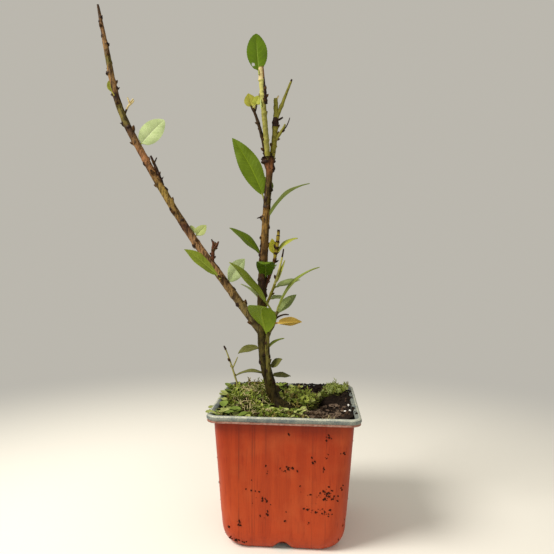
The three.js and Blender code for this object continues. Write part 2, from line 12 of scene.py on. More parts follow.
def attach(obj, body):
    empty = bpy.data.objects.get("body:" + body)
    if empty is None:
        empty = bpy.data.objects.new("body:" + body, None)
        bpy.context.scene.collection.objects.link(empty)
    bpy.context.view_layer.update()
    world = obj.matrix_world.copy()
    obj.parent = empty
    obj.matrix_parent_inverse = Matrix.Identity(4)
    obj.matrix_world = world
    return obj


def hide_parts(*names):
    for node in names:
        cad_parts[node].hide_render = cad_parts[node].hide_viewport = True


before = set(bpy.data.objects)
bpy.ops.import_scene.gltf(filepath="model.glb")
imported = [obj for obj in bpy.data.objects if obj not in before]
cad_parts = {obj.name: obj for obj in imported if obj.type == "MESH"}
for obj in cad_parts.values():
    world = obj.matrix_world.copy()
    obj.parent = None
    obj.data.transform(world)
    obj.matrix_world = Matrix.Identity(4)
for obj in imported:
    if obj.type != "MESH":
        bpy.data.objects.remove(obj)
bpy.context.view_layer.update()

MM = 0.001

# The camera stands where the photograph was taken: angles in degrees, the focal length in pixels
CAMERA = {
    "distance": 284.9, "azimuth": 2.69, "height": 137.9, "pan": 1.17, "pitch": 2.03, "roll": 0.64,
    "focal": 555, "frame": 554, "sensor": 36,
}


def set_camera():
    """The photograph's own view of the plant."""
    azimuth = math.radians(CAMERA["azimuth"])
    heading = math.radians(CAMERA["azimuth"] + CAMERA["pan"])
    lens = bpy.data.cameras.new("camera")
    lens.sensor_width = CAMERA["sensor"]
    lens.lens = CAMERA["focal"] * CAMERA["sensor"] / CAMERA["frame"]
    lens.clip_start = 0.01
    camera = bpy.data.objects.new("camera", lens)
    camera.matrix_world = (
        Matrix.Translation((
            math.sin(azimuth) * CAMERA["distance"] * MM,
            -math.cos(azimuth) * CAMERA["distance"] * MM,
            CAMERA["height"] * MM,
        ))
        @ Matrix.Rotation(heading, 4, "Z")
        @ Matrix.Rotation(math.radians(90 - CAMERA["pitch"]), 4, "X")
        @ Matrix.Rotation(math.radians(CAMERA["roll"]), 4, "Z")
    )
    bpy.context.scene.collection.objects.link(camera)
    bpy.context.scene.camera = camera


set_camera()

# The pot: a 7 cm square, 6.5 cm tall, of thin sheet, with a rolled rim and a rounded foot
POT = {
    "height": 65,
    "rim_width": 72,
    "rim_corner": 5.5,
    "rim_lip": 3.4,  # how far down the rolled rim turns
    "rim_thickness": 1.4,
    "top_width": 66,
    "foot_width": 58.6,
    "top_corner": 5.5,
    "foot_corner": 10.5,
    "wall": 0.8,
    "floor": 1,
    "foot_round": 10,  # height over which the wall curves in to the underside
    "foot_inset": 4.2,  # and how far it curves in
}
WALL_TOP = POT["height"] - 3  # the wall ends under the rim's roof
# A bell-shaped drain notch in the middle of each side
NOTCH = {"width": 12.6, "height": 4.5, "reach": 9, "count": 4, "steps": 32}

# The compost, and the mounds of moss on it
COMPOST = {"level": 58, "swell": 1.1, "pitch": 9, "phase": [1.2, 0.4], "calm_radius": 7}
MOSS_MOUNDS = {
    "moss_left": dict(x=-19.5, y=9, radius_x=15, radius_y=22, height=7.5),
    "moss_front": dict(x=-4, y=-21, radius_x=16, radius_y=10, height=2.8),
    "moss_middle": dict(x=6.5, y=14, radius_x=10, radius_y=15.5, height=4.6),
    "moss_corner": dict(x=25, y=20, radius_x=8.5, radius_y=11, height=7.5),
}

# The limbs, each through stations of x, y, z and radius
LIMBS = {
    "trunk": {
        "stations": [
            [0.5, 0, COMPOST["level"] - 4, 6.2], [-6, 0, 64.5, 3], [-9.8, 0, 76, 2.75], [-12.5, 0, 90, 2.6],
            [-13.6, 0, 111, 2.3], [-12.9, 0, 135, 2.15], [-11.7, 0, 160, 1.85], [-10.4, 0, 179, 1.65],
            [-10.5, 0, 184.5, 2.3], [-10.8, 0, 189, 3],
        ],
        "bud_spacing": 9.5,
        "bud_length": 1.9,
        "seed": 11,
    },
    "left_bough": {
        "on": "trunk",
        "stations": [
            [-13.2, 0, 99, 2.35], [-19.8, 0.5, 107.3, 2.1], [-34.9, 1.7, 127, 2.05], [-51, 3, 148.3, 2],
            [-67.6, 4.6, 173.5, 1.85], [-83.8, 6.4, 201.4, 1.85], [-88.5, 6.9, 210.5, 1.8],
            [-93.6, 7, 224.5, 1.7], [-98.4, 7, 247.5, 1.4], [-103, 7, 270.5, 0.62],
        ],
        "bud_spacing": 8.5,
        "bud_length": 2.2,
        "seed": 23,
    },
    "second_stem": {
        "on": "trunk",
        "stations": [
            [-8.4, -1.2, 70, 1.3], [-9.2, -3.5, 78, 1.2], [-10, -3.3, 90, 1.1], [-9.9, -3.3, 98, 1.05],
            [-7.2, -3.4, 103.6, 0.95], [-5.3, -3.5, 110.5, 0.6],
        ],
        "bud_spacing": 7,
        "bud_length": 1.5,
        "seed": 5,
    },
}


def leaf(tone, azimuth, rise, bow, roll, length, width, **more):
    """A leaf: the way it points, how steeply it starts, how far it bends down, its roll and its size."""
    growth = dict(azimuth=azimuth, rise=rise, bow=bow, roll=roll, length=length, width=width)
    return dict(growth, kind="leaf", tone=tone, **more)


def stem(bark, azimuth, rise, bow, length, radius, **more):
    """A little stem of one wood, or of several that each start at a share of its length."""
    tints = [(0, bark)] if isinstance(bark, str) else bark
    growth = dict(azimuth=azimuth, rise=rise, bow=bow, length=length, radius=radius)
    return dict(growth, kind="stem", tints=tints, **more)


def spur(at, *values, **more):
    """A short shoot at a share of its stem's length."""
    return dict(stem(*values, **more), kind="spur", at=at)


def on(limb, height, *parts, offset=(0, 0)):
    """A spray on a limb at a height, moved aside by an offset: its stem first, then spurs and leaves."""
    return dict(limb=limb, height=height, offset=offset, parts=parts)


def standing(place, *parts):
    """A spray that stands by itself."""
    return dict(place=place, parts=parts)


# A dark ring at each node of a young twig
RINGED = [
    (0, "russet"), (0.56, "ochre"), (0.62, "dead"), (0.65, "ochre"), (0.7, "dead"), (0.74, "ochre"),
    (0.8, "dead"), (0.83, "ochre"), (0.9, "dead"), (0.92, "ochre"), (0.97, "dead"),
]
# What grows on the limbs, each spray at its own height
SPRAYS = {
    "bough_leaf_high": on(
        "left_bough", 195.5,
        leaf("silvery", 50, 52, 10, -66, 23.5, 11, fullness=0.62, fold=0.04),
    ),
    "bough_twig_high": on(
        "left_bough", 211,
        stem([(0, "dark"), (0.4, "tan")], 12, 80, 30, 11.5, 0.55),
        spur(0.6, "tan", 10, 35, -20, 4.2, 0.5),
        spur(0.72, "tan", 190, 70, 0, 3.4, 0.45),
    ),
    "bough_bud_leaf": on("left_bough", 222.5, leaf("lime", 184, 50, -34, 60, 8.6, 3), offset=(-0.3, -1.2)),
    "bough_leaf_pair": on(
        "left_bough", 147,
        leaf("sage", 35, 53, 14, -60, 10.5, 5.5),
        leaf("sage", 120, 56, 0, 40, 9, 4.5),
    ),
    "bough_spur": on(
        "left_bough", 133.5,
        stem("russet", 60, 86, 0, 12.5, 0.9, bud_spacing=1.9),
        spur(0.62, "russet", 5, 48, -20, 5.5, 0.7, bud_spacing=1.6),
        spur(0.9, "dead", 150, 60, 0, 2.6, 0.5),
        spur(0.42, "dead", 185, 35, 0, 1.9, 0.5),
    ),
    "bough_spur_high": on(
        "left_bough", 175,
        stem("dead", 178, 70, 6, 17, 0.85, bud_spacing=3.2),
        spur(0.74, "dead", 5, 66, 0, 3.4, 0.45),
        offset=(1.5, 0),
    ),
    "bough_leaf_low": on("left_bough", 126.5, leaf("olive", 192, 51, 24, 46, 24, 8.5), offset=(-0.6, -2.1)),
    "bough_leaf_back": on("left_bough", 123, leaf("silvery", 60, 51, 16, -64, 20.5, 8.6)),
    "head_shoot_left": on(
        "trunk", 187.5,
        stem("dark", 195, 83, 16, 27, 0.95, bud_spacing=6),
        spur(0.9, "dark", 180, 52, -20, 4.6, 0.55),
        spur(0.92, "dark", 8, 66, -20, 4.4, 0.5),
        spur(0.55, "dark", 172, 40, -20, 2.2, 0.4),
        leaf("young", 176, 66, -10, 74, 10, 6.5, at=0.93),
        leaf("lime", 10, 74, 10, -72, 8, 5, at=0.97),
        offset=(-1.5, 0.7),
    ),
    "head_shoot_middle": on(
        "trunk", 187.5,
        stem([(0, "green"), (0.08, "pale"), (0.62, "cream"), (0.86, "tan")], 205, 84, -1, 46, 1.38,
             bud_spacing=11, taper=[1, 0.97, 1.08], knobs=[(0.86, 0.25, 0.5)]),
        spur(0.6, "dead", 205, 84, 0, 9.6, 0.85, bud_spacing=1.8, offset=[1.35, -0.8]),
        spur(0.8, [(0, "dead"), (0.4, "brown")], 205, 84, 0, 9.6, 0.5, bud_spacing=5, offset=[1.25, -0.7]),
        leaf("sage", 208, 66, -24, 30, 8, 2.8, at=0.5),
        offset=(-0.3, -1.6),
    ),
    "head_leaf_top": on(
        "head_shoot_middle", 229.2,
        leaf("bright", 176, 82, -6, 78, 20.4, 10.4, petiole=1.6, fullness=0.6, widest_at=0.5, fold=0.06,
             bite=(0.2, -2.3, 0.85)),
        offset=(-0.9, -1.3),
    ),
    "head_shoot_right": on(
        "trunk", 187.5,
        stem([(0, "olive"), (0.53, "dead"), (0.69, "green")], 10, 82, -10, 31.5, 1.5, bud_spacing=8,
             taper=[1, 0.95, 0.7], knobs=[(0.61, 0.5, 1.5)]),
        spur(0.64, [(0, "green"), (0.94, "dead")], 4, 69, 0, 22.5, 1.05, taper=[1, 0.8, 0.5], bud_spacing=9),
        spur(0.64, "dead", 355, 14, -20, 4.2, 0.6),
        spur(0.3, "green", 352, 50, -14, 10.5, 0.7, bud_spacing=2.2),
        spur(0.42, "dead", 358, 38, -40, 10, 0.34, offset=[2.4, -0.4]),
        spur(0.96, "tan", 5, 62, 0, 3, 0.5),
        offset=(1.5, 0.6),
    ),
    "trunk_leaf_tall": on("trunk", 163, leaf("deep", 165, 73, 22, 78, 42, 11, petiole=7, fold=0.1)),
    "trunk_leaf_right": on("trunk", 151, leaf("bright", 345, 87, 82, -8, 36.5, 8.5, petiole=9)),
    "trunk_leaf_left": on("trunk", 137, leaf("deep", 186, 59, 34, 30, 24, 8.5, petiole=3.5)),
    "trunk_leaf_front": on(
        "trunk", 124.2,
        leaf("dusky", 274, 84, 108, 0, 24, 9.2, petiole=3.5, fullness=0.42, fold=0.04),
        offset=(1.6, 0),
    ),
    "trunk_leaf_crossing": on(
        "trunk", 109.5,
        stem("green", 328, 18, 0, 6.4, 0.75),
        leaf("olive", 208, 59, 24, 38, 33, 9.4, at=0.95, petiole=4),
    ),
    "trunk_leaf_behind": on("trunk", 115, leaf("cool", 160, 59, 46, -4, 15.5, 4.2)),
    "trunk_leaf_back_high": on("trunk", 166, leaf("deep", 100, 58, 30, 0, 23, 8, petiole=5)),
    "trunk_leaf_back_middle": on("trunk", 129.5, leaf("bright", 78, 26, 30, 0, 23, 7, petiole=4)),
    "trunk_leaf_back_low": on("trunk", 102, leaf("deep", 82, 30, 36, 0, 27, 9, petiole=4)),
    "side_twig_upper": on(
        "trunk", 119,
        stem(RINGED, 8, 64, -24, 34.4, 0.78, bud_spacing=2.3, taper=[1, 0.95, 1],
             knobs=[(0.64, 0.15, 0.8), (0.72, 0.2, 0.6), (0.81, 0.2, 0.7), (0.9, 0.2, 0.6)]),
        spur(0.5, "dead", 5, 12, -30, 2.8, 0.5),
        leaf("yellow", 200, 82, 0, 70, 10.5, 5.4, at=0.56, fold=0.05),
        leaf("lime", 10, 74, 66, -20, 16.5, 5, at=0.58, fullness=0.6),
    ),
    "side_twig_inner": on(
        "trunk", 112,
        stem([(0, "olive"), (0.42, "cream"), (0.86, "dead")], 336, 62, -18, 32, 0.66, bud_spacing=9,
             taper=[1.15, 1, 0.55]),
        spur(0.12, "dead", 20, 66, 0, 3.4, 0.55),
        leaf("lime", 340, 64, -6, -40, 14, 4, at=0.4),
        leaf("cool", 50, 14, 12, -20, 10.5, 4.5, at=0.15),
        leaf("cool", 30, 31, 30, -24, 16.5, 5.5, at=0.34),
        offset=(1.8, 0),
    ),
    "second_stem_leaf_front": on(
        "second_stem", 96,
        leaf("fresh", 225, 87, 88, 16, 29.5, 15.6, veer=75, petiole=3, fold=0.07),
    ),
    "second_stem_leaf_aged": on("second_stem", 104, leaf("aged", 352, 18, 24, 48, 14.8, 6.6)),
    "second_stem_leaf_right": on("second_stem", 107.5, leaf("cool", 40, 56, 32, -24, 17.5, 6.4, petiole=2.5)),
    "second_stem_leaf_long": on("second_stem", 109.5, leaf("olive", 4, 82, 68, -6, 34, 6.5, petiole=3)),
    "second_stem_stub": on("second_stem", 106, stem("dark", 4, 52, 62, 8, 0.5)),
    "trunk_leaf_low_left": on("trunk", 90.5, leaf("dull", 196, 22, 62, 30, 14, 5.5)),
    "trunk_leaf_low_right": on("trunk", 88, leaf("olive", 12, 68, 62, -10, 14, 3.4)),
    "trunk_leaf_lower_right": on("trunk", 80.5, leaf("dull", 340, 32, 0, -46, 10.5, 5.5)),
    "trunk_leaf_lowest_right": on("trunk", 76.5, leaf("dull", 20, 10, 26, -24, 12.5, 5)),
    "trunk_leaf_lowest_left": on("trunk", 77, leaf("dull", 176, 29, 66, 8, 18.5, 5, petiole=3)),
    "seedling": standing(
        (-27.3, 20, 62),
        stem("straw", 172, 75, 8, 26, 0.55, bud_spacing=5),
        spur(0.55, "straw", 20, 66, 0, 7, 0.4),
        spur(0.98, "dead", 165, 60, 0, 2.4, 0.6),
    ),
}
# Dead stubs at their real places on the limbs: height, azimuth, rise, bow, length and radius
STUBS = {
    "trunk": [
        (157, 186, 44, 70, 5, 0.55), (154.5, 190, 62, 30, 4, 0.5), (146.2, 176, -30, 40, 4, 0.45),
        (145, 356, 40, 0, 2.8, 0.5), (181.5, 0, 36, 0, 3.2, 0.6), (185.5, 172, 74, 0, 9, 1.25),
        (185.5, 12, 72, 0, 9.5, 1.4), (186.5, 228, 50, -20, 5, 1.1), (186, 8, 24, -30, 4.4, 0.6),
        (188.5, 182, 40, 0, 4, 0.8), (188.6, 212, 62, 0, 4.6, 1.1), (188.4, 352, 60, 0, 3.8, 0.9),
        (166, 30, 36, 0, 3.2, 0.5), (84, 10, 50, 0, 4.4, 0.5),
    ],
    "left_bough": [
        (261, 182, 70, 0, 2.4, 0.45), (262.6, 0, 70, 0, 2.6, 0.45), (247.6, 4, 60, 0, 3.2, 0.6),
        (232, 182, 66, -20, 5, 0.6), (234.4, 186, 50, 0, 3.6, 0.5), (225, 2, 40, 0, 3.4, 0.6),
        (222.2, 184, 20, 0, 3.2, 0.7), (207.6, 184, 10, 0, 3.6, 0.6), (176.4, 4, 42, -20, 4.2, 0.55),
        (171, 6, 50, 0, 3, 0.6), (143, 188, 36, 0, 3.4, 0.6), (112.6, 214, 4, 0, 3.6, 0.55),
    ],
}
STUB_TAPER = [1.2, 1, 0.8, 0.35]
STUB_SEED = 300
# Each spray has a seed of its own, and its spurs have seeds this far above it
FIRST_SPRAY_SEED = 100
SPUR_SEED_STEP = 50

BUD = {
    "turn": 137.5,  # degrees from one bud to the next round a stem
    "turn_scatter": 50,
    "spacing_scatter": 0.5,
    "size": 1.6,
    "size_scatter": 0.6,
    "girth": 0.42,  # half width as a share of its half length
    "lean": 1.1,  # how far it leans up its stem
    "seat": 0.85,  # where its middle lies, as a share of the stem's radius
    "swelling": 0.14,  # how much the stem thickens at it
    "ridge": 0.1,  # and how much more in the narrow ridge across its node
    "scales": [(1, 1), (0.72, 0.8), (0.6, 0.75)],  # length and width of each
    "scale_offset": 0.16,
    "sunk": 0.45,
    "stretch": 1.45,
}
TWIG = {"taper": [1, 0.92, 0.7], "ring": 0.3, "sides": 12, "lump": 1.6, "lump_depth": 0.14}
BLADE = {
    "widest_at": 0.46,  # share of the blade's length from its base
    "fullness": 0.85,  # under 1 gives a fuller outline than a sine arch
    "fold": 0.16,  # depth of the V along the midrib, as a share of the half width
    "quilting": 0.015,  # how far the blade swells between its side veins
    "petiole": 2.2,
    "stalk_radius": 0.5,
    "thickness": 0.32,
    "row": 0.3,  # spacing of the rows of the mesh along the midrib
    "columns": 8,  # from the midrib to the margin
    "slant": 0.75,  # how far a side vein runs forward for each millimetre out
    "vein_spacing": 2.4,
    "veined": (0.04, 0.93),  # the stretch of the blade's length that has side veins
    "tooth": 1.3,  # from one tooth of the margin to the next
    "tooth_depth": 0.2,
    "tooth_share": 0.045,  # and no more than this share of the leaf's width
    "crowding": 1.4,  # over 1 draws the columns together at the midrib
    "arch": 0.05,  # how far each half bulges, as a share of its width
    "waves": 11,
    "wave_size": (0.25, 0.45),
    "furrow": 0.12,  # along the midrib, above
    "rib": 0.3,  # and its rib, below
    "rib_width": 0.4,
    "thinning": 0.75,  # towards the margin
    "least_half": 0.12,  # half width that stays at the tip
}

# The bark's swelling at a bud and at a knot: half width as a share of the radius or knot, and a margin
BUD_SWELLING = {"height": 0.45, "long": 1.3, "girth": 0.9, "margin": 0.3, "bare": 0.8}
KNOT_SWELLING = {"girth": 1.3, "margin": 0.7, "bare": 0.4}
# The leaf scar under a bud: a small ledge across the stem, its half length, and its width and depth as shares
LEAF_SCAR = {"long": 0.35, "wide": 0.8, "deep": 0.35}

# Small helpers


def seeded_random(seed):
    """The source's own draws, so that each bud stands where its solid is."""
    state = seed

    def draw():
        nonlocal state
        state = (state * 1664525 + 1013904223) % 4294967296
        return state / 4294967296

    return draw


def unit(vectors):
    """Vectors at length one."""
    vectors = np.asarray(vectors, float)
    return vectors / np.maximum(np.linalg.norm(vectors, axis=-1, keepdims=True), 1e-12)


def turned(vectors, axes, angle):
    """Vectors turned about unit axes by an angle in degrees."""
    cos, sin = math.cos(math.radians(angle)), math.sin(math.radians(angle))
    along = np.sum(vectors * axes, axis=-1, keepdims=True)
    return vectors * cos + np.cross(axes, vectors) * sin + axes * along * (1 - cos)


def rough(points, size, octaves=2, shift=0.0):
    """Smooth noise from -1 to 1 at each point, with lumps of about the given size."""
    places = np.asarray(points, float).reshape(-1, 3) / size + shift
    values = [noise.fractal(Vector(place), 0.8, 2.1, octaves) for place in places]
    return np.array(values).reshape(np.shape(points)[:-1])


class Path:
    """A smooth line through points, read by shares of its length."""

    FINE = 200

    def __init__(self, points):
        points = np.array(points, float)
        self.spans = len(points) - 1
        self.knots = np.vstack([2 * points[0] - points[1], points, 2 * points[-1] - points[-2]])
        self.times = np.linspace(0, 1, self.FINE + 1)
        steps = np.diff(self.at_time(self.times), axis=0)
        self.reach = np.concatenate([[0], np.cumsum(np.linalg.norm(steps, axis=1))])
        self.length = self.reach[-1]

    def at_time(self, times):
        place = np.clip(times, 0, 1) * self.spans
        low = np.minimum(place.astype(int), self.spans - 1)
        part = (place - low)[..., None]
        before, start, end, after = (self.knots[low + i] for i in range(4))
        leave, arrive = (end - before) / 2, (after - start) / 2
        return (
            start + leave * part
            + (3 * (end - start) - 2 * leave - arrive) * part**2
            + (2 * (start - end) + leave + arrive) * part**3
        )

    def time_of(self, shares):
        return np.interp(np.asarray(shares, float) * self.length, self.reach, self.times)

    def at(self, shares):
        return self.at_time(self.time_of(shares))

    def heading(self, shares):
        shares = np.asarray(shares, float)
        return unit(self.at(np.minimum(shares + 1e-3, 1)) - self.at(np.maximum(shares - 1e-3, 0)))

    def share_at_height(self, height):
        """Where the line passes a height; every limb climbs all the way."""
        shares = np.linspace(0, 1, 4 * self.FINE)
        return float(np.interp(height, self.at(shares)[:, 2], shares))


def arc_path(root, growth, steps=10):
    """An arc that starts along azimuth and rise, and bends down by bow and round by veer."""
    share = (np.arange(steps) + 0.5) / steps
    pitch = np.radians(growth["rise"] - growth["bow"] * share)
    bearing = np.radians(growth["azimuth"] + growth.get("veer", 0) * share)
    step = np.stack([np.cos(bearing) * np.cos(pitch), np.sin(bearing) * np.cos(pitch), np.sin(pitch)], 1)
    return Path(np.vstack([root, root + np.cumsum(step * growth["length"] / steps, axis=0)]))


def around(count):
    """Even angles round a full turn."""
    return np.linspace(0, 2 * math.pi, count, endpoint=False)


class Heap:
    """Points and faces of many small things, gathered into one mesh."""

    def __init__(self):
        self.points, self.faces, self.looks, self.count = [], [], [], 0

    def add(self, points, faces, looks=0):
        points = np.asarray(points, float).reshape(-1, 3)
        self.faces += [[corner + self.count for corner in face] for face in faces]
        self.looks += [looks] * len(faces) if isinstance(looks, int) else list(looks)
        self.points.append(points)
        self.count += len(points)

    def add_tube(self, line, spread, sides, looks=0):
        self.add(*lofted(tube_rings(line, spread, sides)), looks)


def make_piece(name, heap, materials, nodes=(), crease=40):
    """A mesh of what a heap holds, with its faces out, that rides with the pot and stands for nodes."""
    mesh = bpy.data.meshes.new(name)
    mesh.from_pydata((np.vstack(heap.points) * MM).tolist(), [], heap.faces)
    mesh.polygons.foreach_set("material_index", heap.looks)
    for material in materials:
        mesh.materials.append(material)
    shell = bmesh.new()
    shell.from_mesh(mesh)
    bmesh.ops.recalc_face_normals(shell, faces=shell.faces)
    shell.to_mesh(mesh)
    shell.free()
    mesh.polygons.foreach_set("use_smooth", [True] * len(mesh.polygons))
    mesh.set_sharp_from_angle(angle=math.radians(crease))
    piece = bpy.data.objects.new(name, mesh)
    bpy.context.scene.collection.objects.link(piece)
    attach(piece, "root")
    if nodes:
        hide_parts(*nodes)
    return piece


def lofted(rings):
    """Points and faces of rings of equal count, joined in order and fanned over at both ends."""
    rings = np.asarray(rings, float)
    rows, sides = rings.shape[:2]
    row, side = np.meshgrid(np.arange(rows - 1), np.arange(sides), indexing="ij")
    after = (side + 1) % sides
    low, high = row * sides, (row + 1) * sides
    faces = np.stack([low + side, low + after, high + after, high + side], -1).reshape(-1, 4).tolist()
    points = np.vstack([rings.reshape(-1, 3), rings[0].mean(0), rings[-1].mean(0)])
    first, last = rows * sides, rows * sides + 1
    base = (rows - 1) * sides
    faces += [[first, (i + 1) % sides, i] for i in range(sides)]
    faces += [[last, base + i, base + (i + 1) % sides] for i in range(sides)]
    return points, faces


def frames_along(points):
    """Headings along a line of points, and two sides of it that turn as little as they can."""
    ahead = unit(np.gradient(points, axis=0))
    side = np.empty_like(ahead)
    start = (0, 1, 0) if abs(ahead[0][1]) < 0.95 else (0, 0, 1)
    side[0] = unit(np.cross(start, ahead[0]))
    for i in range(1, len(points)):
        side[i] = unit(side[i - 1] - ahead[i] * np.dot(side[i - 1], ahead[i]))
    return ahead, side, np.cross(ahead, side)


def tube_rings(points, spread, sides):
    """Rings round a line. Spread is a radius for each ring, or for each of its points."""
    _, side, other = frames_along(points)
    turns = around(sides)
    spread = np.asarray(spread, float)
    if spread.ndim == 1:
        spread = np.repeat(spread[:, None], sides, axis=1)
    out = np.cos(turns)[None, :, None] * side[:, None] + np.sin(turns)[None, :, None] * other[:, None]
    return points[:, None] + spread[..., None] * out


def round_tip(spread, factors):
    """A tube's spread with its last rings drawn in, so that its tip is round."""
    spread = spread.copy()
    for index, factor in enumerate(reversed(factors)):
        spread[-1 - index] *= factor
    return spread


# Woody growth


def read_off(values, shares):
    """Values of an even list at shares of its length."""
    return np.interp(np.asarray(shares, float) * (len(values) - 1), np.arange(len(values)), values)


def buds_along(length, spacing, size, seed):
    """Buds spiral up a limb by a seeded rule: even spacing and a fixed turn, each a little disturbed."""
    draw = seeded_random(seed)
    buds = []
    for i in range(1, int((length - spacing) // spacing) + 1):
        along = i * spacing + (draw() - 0.5) * BUD["spacing_scatter"] * spacing
        turn = i * BUD["turn"] + (draw() - 0.5) * BUD["turn_scatter"]
        scale = 1 + (draw() - 0.5) * BUD["size_scatter"]
        buds.append(dict(at=along / length, turn=turn, size=size * scale))
    return buds


def bud_seat(path, bud, radius):
    """Where a bud sits on its stem, and the way it leans."""
    point, along = path.at(bud["at"]), path.heading(bud["at"])
    level = (1, 0, 0) if abs(along[2]) > 0.98 else (0, 0, 1)
    side = turned(unit(np.cross(along, level)), along, bud["turn"])
    return point + side * radius * BUD["seat"], unit(side + along * BUD["lean"]), side


def add_bud(heap, seat, lean, size, chance, look):
    """A pointed bud in overlapping scales, its lower half sunk in the bark."""
    _, side, other = frames_along(np.array([seat, seat + lean]))
    share = np.linspace(0.02, 0.98, 6)
    for scale, (long, wide) in enumerate(BUD["scales"]):
        turn = chance.uniform(0, 2 * math.pi)
        offset = (side[0] * math.cos(turn) + other[0] * math.sin(turn)) * size * BUD["scale_offset"]
        width = size * BUD["girth"] * wide * np.sin(np.pi * share**0.75) ** 0.8
        middle = seat - lean * size * long * BUD["sunk"] + offset * (scale > 0)
        heap.add_tube(middle + lean * (share * size * long * BUD["stretch"])[:, None], width, 7, look)


def limb_surface(path, radius_at, bumps, bark):
    """Rings of a limb in its bark: fine ridges, a swelling at each bud and a scar under it."""
    shares = np.linspace(0, 1, round(path.length / LIMB_RING))
    turns = around(bark["sides"])
    base = radius_at(shares)[:, None]
    distance = (shares * path.length)[:, None]
    cylinder = np.stack(np.broadcast_arrays(np.cos(turns) * base, np.sin(turns) * base, distance), -1)
    ridges = rough(cylinder * (1, 1, bark["stretch"]), bark["ridge"], 3, bark["shift"])
    pimples = rough(cylinder, bark["pimple"], 2, bark["shift"] + 7)
    spread = base * (1 + bark["ridge_depth"] * ridges) + bark["pimple_depth"] * pimples
    scarred = np.zeros_like(spread, bool)
    for at, turn, height, long, wide, bare in bumps:
        gap = distance - at * path.length
        round_it = np.abs((turns[None] - turn + math.pi) % (2 * math.pi) - math.pi) * base
        swell = np.exp(-((gap / long) ** 2) - (round_it / wide) ** 2)
        spread += height * swell
        scarred |= swell + 0.25 * pimples > bare
        across = round_it / (wide * LEAF_SCAR["wide"])
        spread -= LEAF_SCAR["deep"] * height * np.exp(-(((gap + long) / LEAF_SCAR["long"]) ** 2) - across**2)
    return path.at(shares), spread, scarred


def bud_bumps(path, buds, radius_at):
    """Swellings at buds: share, the way it faces, height, half length, half width and how bare it must be."""
    bumps = []
    for bud in buds:
        side = bud_seat(path, bud, 1)[2]
        wide = BUD_SWELLING["girth"] * radius_at(bud["at"]) + BUD_SWELLING["margin"]
        facing = math.atan2(side[1], side[0])
        size = BUD_SWELLING["height"], BUD_SWELLING["long"], wide
        bumps.append((bud["at"], facing, *size, BUD_SWELLING["bare"]))
    return bumps


def knot_bumps(path, knots):
    """The same for knots and scars, each at a height and facing an angle from +X towards +Y."""
    bumps = []
    for height, facing, size, long in knots:
        wide = KNOT_SWELLING["girth"] * size + KNOT_SWELLING["margin"]
        place = path.share_at_height(height), math.radians(facing)
        bumps.append((*place, size, long, wide, KNOT_SWELLING["bare"]))
    return bumps


# Leaves


def blade_outline(share, leaf):
    """Half width of a blade at a share of its length, as a share of its greatest half width."""
    power = math.log(0.5) / math.log(leaf.get("widest_at", BLADE["widest_at"]))
    arch = np.sin(np.pi * np.clip(share, 0, 1) ** power)
    return np.maximum(arch, 0) ** leaf.get("fullness", BLADE["fullness"])


def leaf_lines(path, leaf, shares):
    """Points of the midrib, with the side and the face of the blade there."""
    along = path.heading(shares)
    bearing = np.radians(leaf["azimuth"] + leaf.get("veer", 0) * shares)
    level = np.stack([np.sin(bearing), -np.cos(bearing), np.zeros_like(bearing)], -1)
    side = unit(turned(level, along, -leaf["roll"]))
    return path.at(shares), side, unit(np.cross(side, along))


# Faces of a leaf by what they are
BLADE_TOP, MIDRIB, SIDE_VEIN, BLADE_UNDER, STALK = range(5)


def toothed_half(leaf, at_margin, blade_length):
    """Half width of a blade at places along its margin, with teeth that point forwards."""
    tooth = (at_margin * blade_length / BLADE["tooth"]) % 1
    depth = min(BLADE["tooth_depth"], BLADE["tooth_share"] * leaf["width"])
    half = blade_outline(at_margin, leaf) * leaf["width"] / 2
    half = np.maximum(half + depth * (tooth - 0.5) * (half > 4 * depth), BLADE["least_half"])
    half[0] = half[1] = BLADE["stalk_radius"] * 0.8
    return half


def blade_lift(leaf, share, places, across, half, blade_length, chance):
    """How far a blade's points are raised: by its fold, arch, quilting, waves and furrow."""
    out, half = np.abs(across)[None, :], half[:, None]
    wave_phase, wave_size = chance.uniform(0, 6.28), chance.uniform(*BLADE["wave_size"])
    quilt = np.cos(2 * math.pi * share * blade_length / BLADE["vein_spacing"])[:, None]
    side_phase = np.where(across > 0, 1, -1)[None, :]
    lift = -leaf.get("fold", BLADE["fold"]) * half * (1 - out) ** 1.15
    lift += BLADE["arch"] * half * np.sin(math.pi * out)
    lift -= BLADE["quilting"] * quilt * side_phase * np.sin(math.pi * out) * np.minimum(half / 3, 1)
    waves = np.sin(places * BLADE["waves"] + wave_phase + side_phase)
    lift += wave_size * waves * out**2 * half / 6
    return lift - BLADE["furrow"] * (out == 0)


def cells_left(leaf, places, across, half, blade_length):
    """Which cells of a blade's mesh are there: all of them, or all but a bite."""
    if "bite" not in leaf:
        return np.ones((len(half) - 1, len(across) - 1), bool)
    bite_at, bite_across, bite_radius = leaf["bite"]
    along = (places[:-1, :-1] + places[1:, 1:]) / 2 * blade_length
    aside = ((across[:-1] + across[1:]) / 2)[None] * half[:-1, None]
    return np.hypot(along - bite_at * blade_length, aside - bite_across) > bite_radius


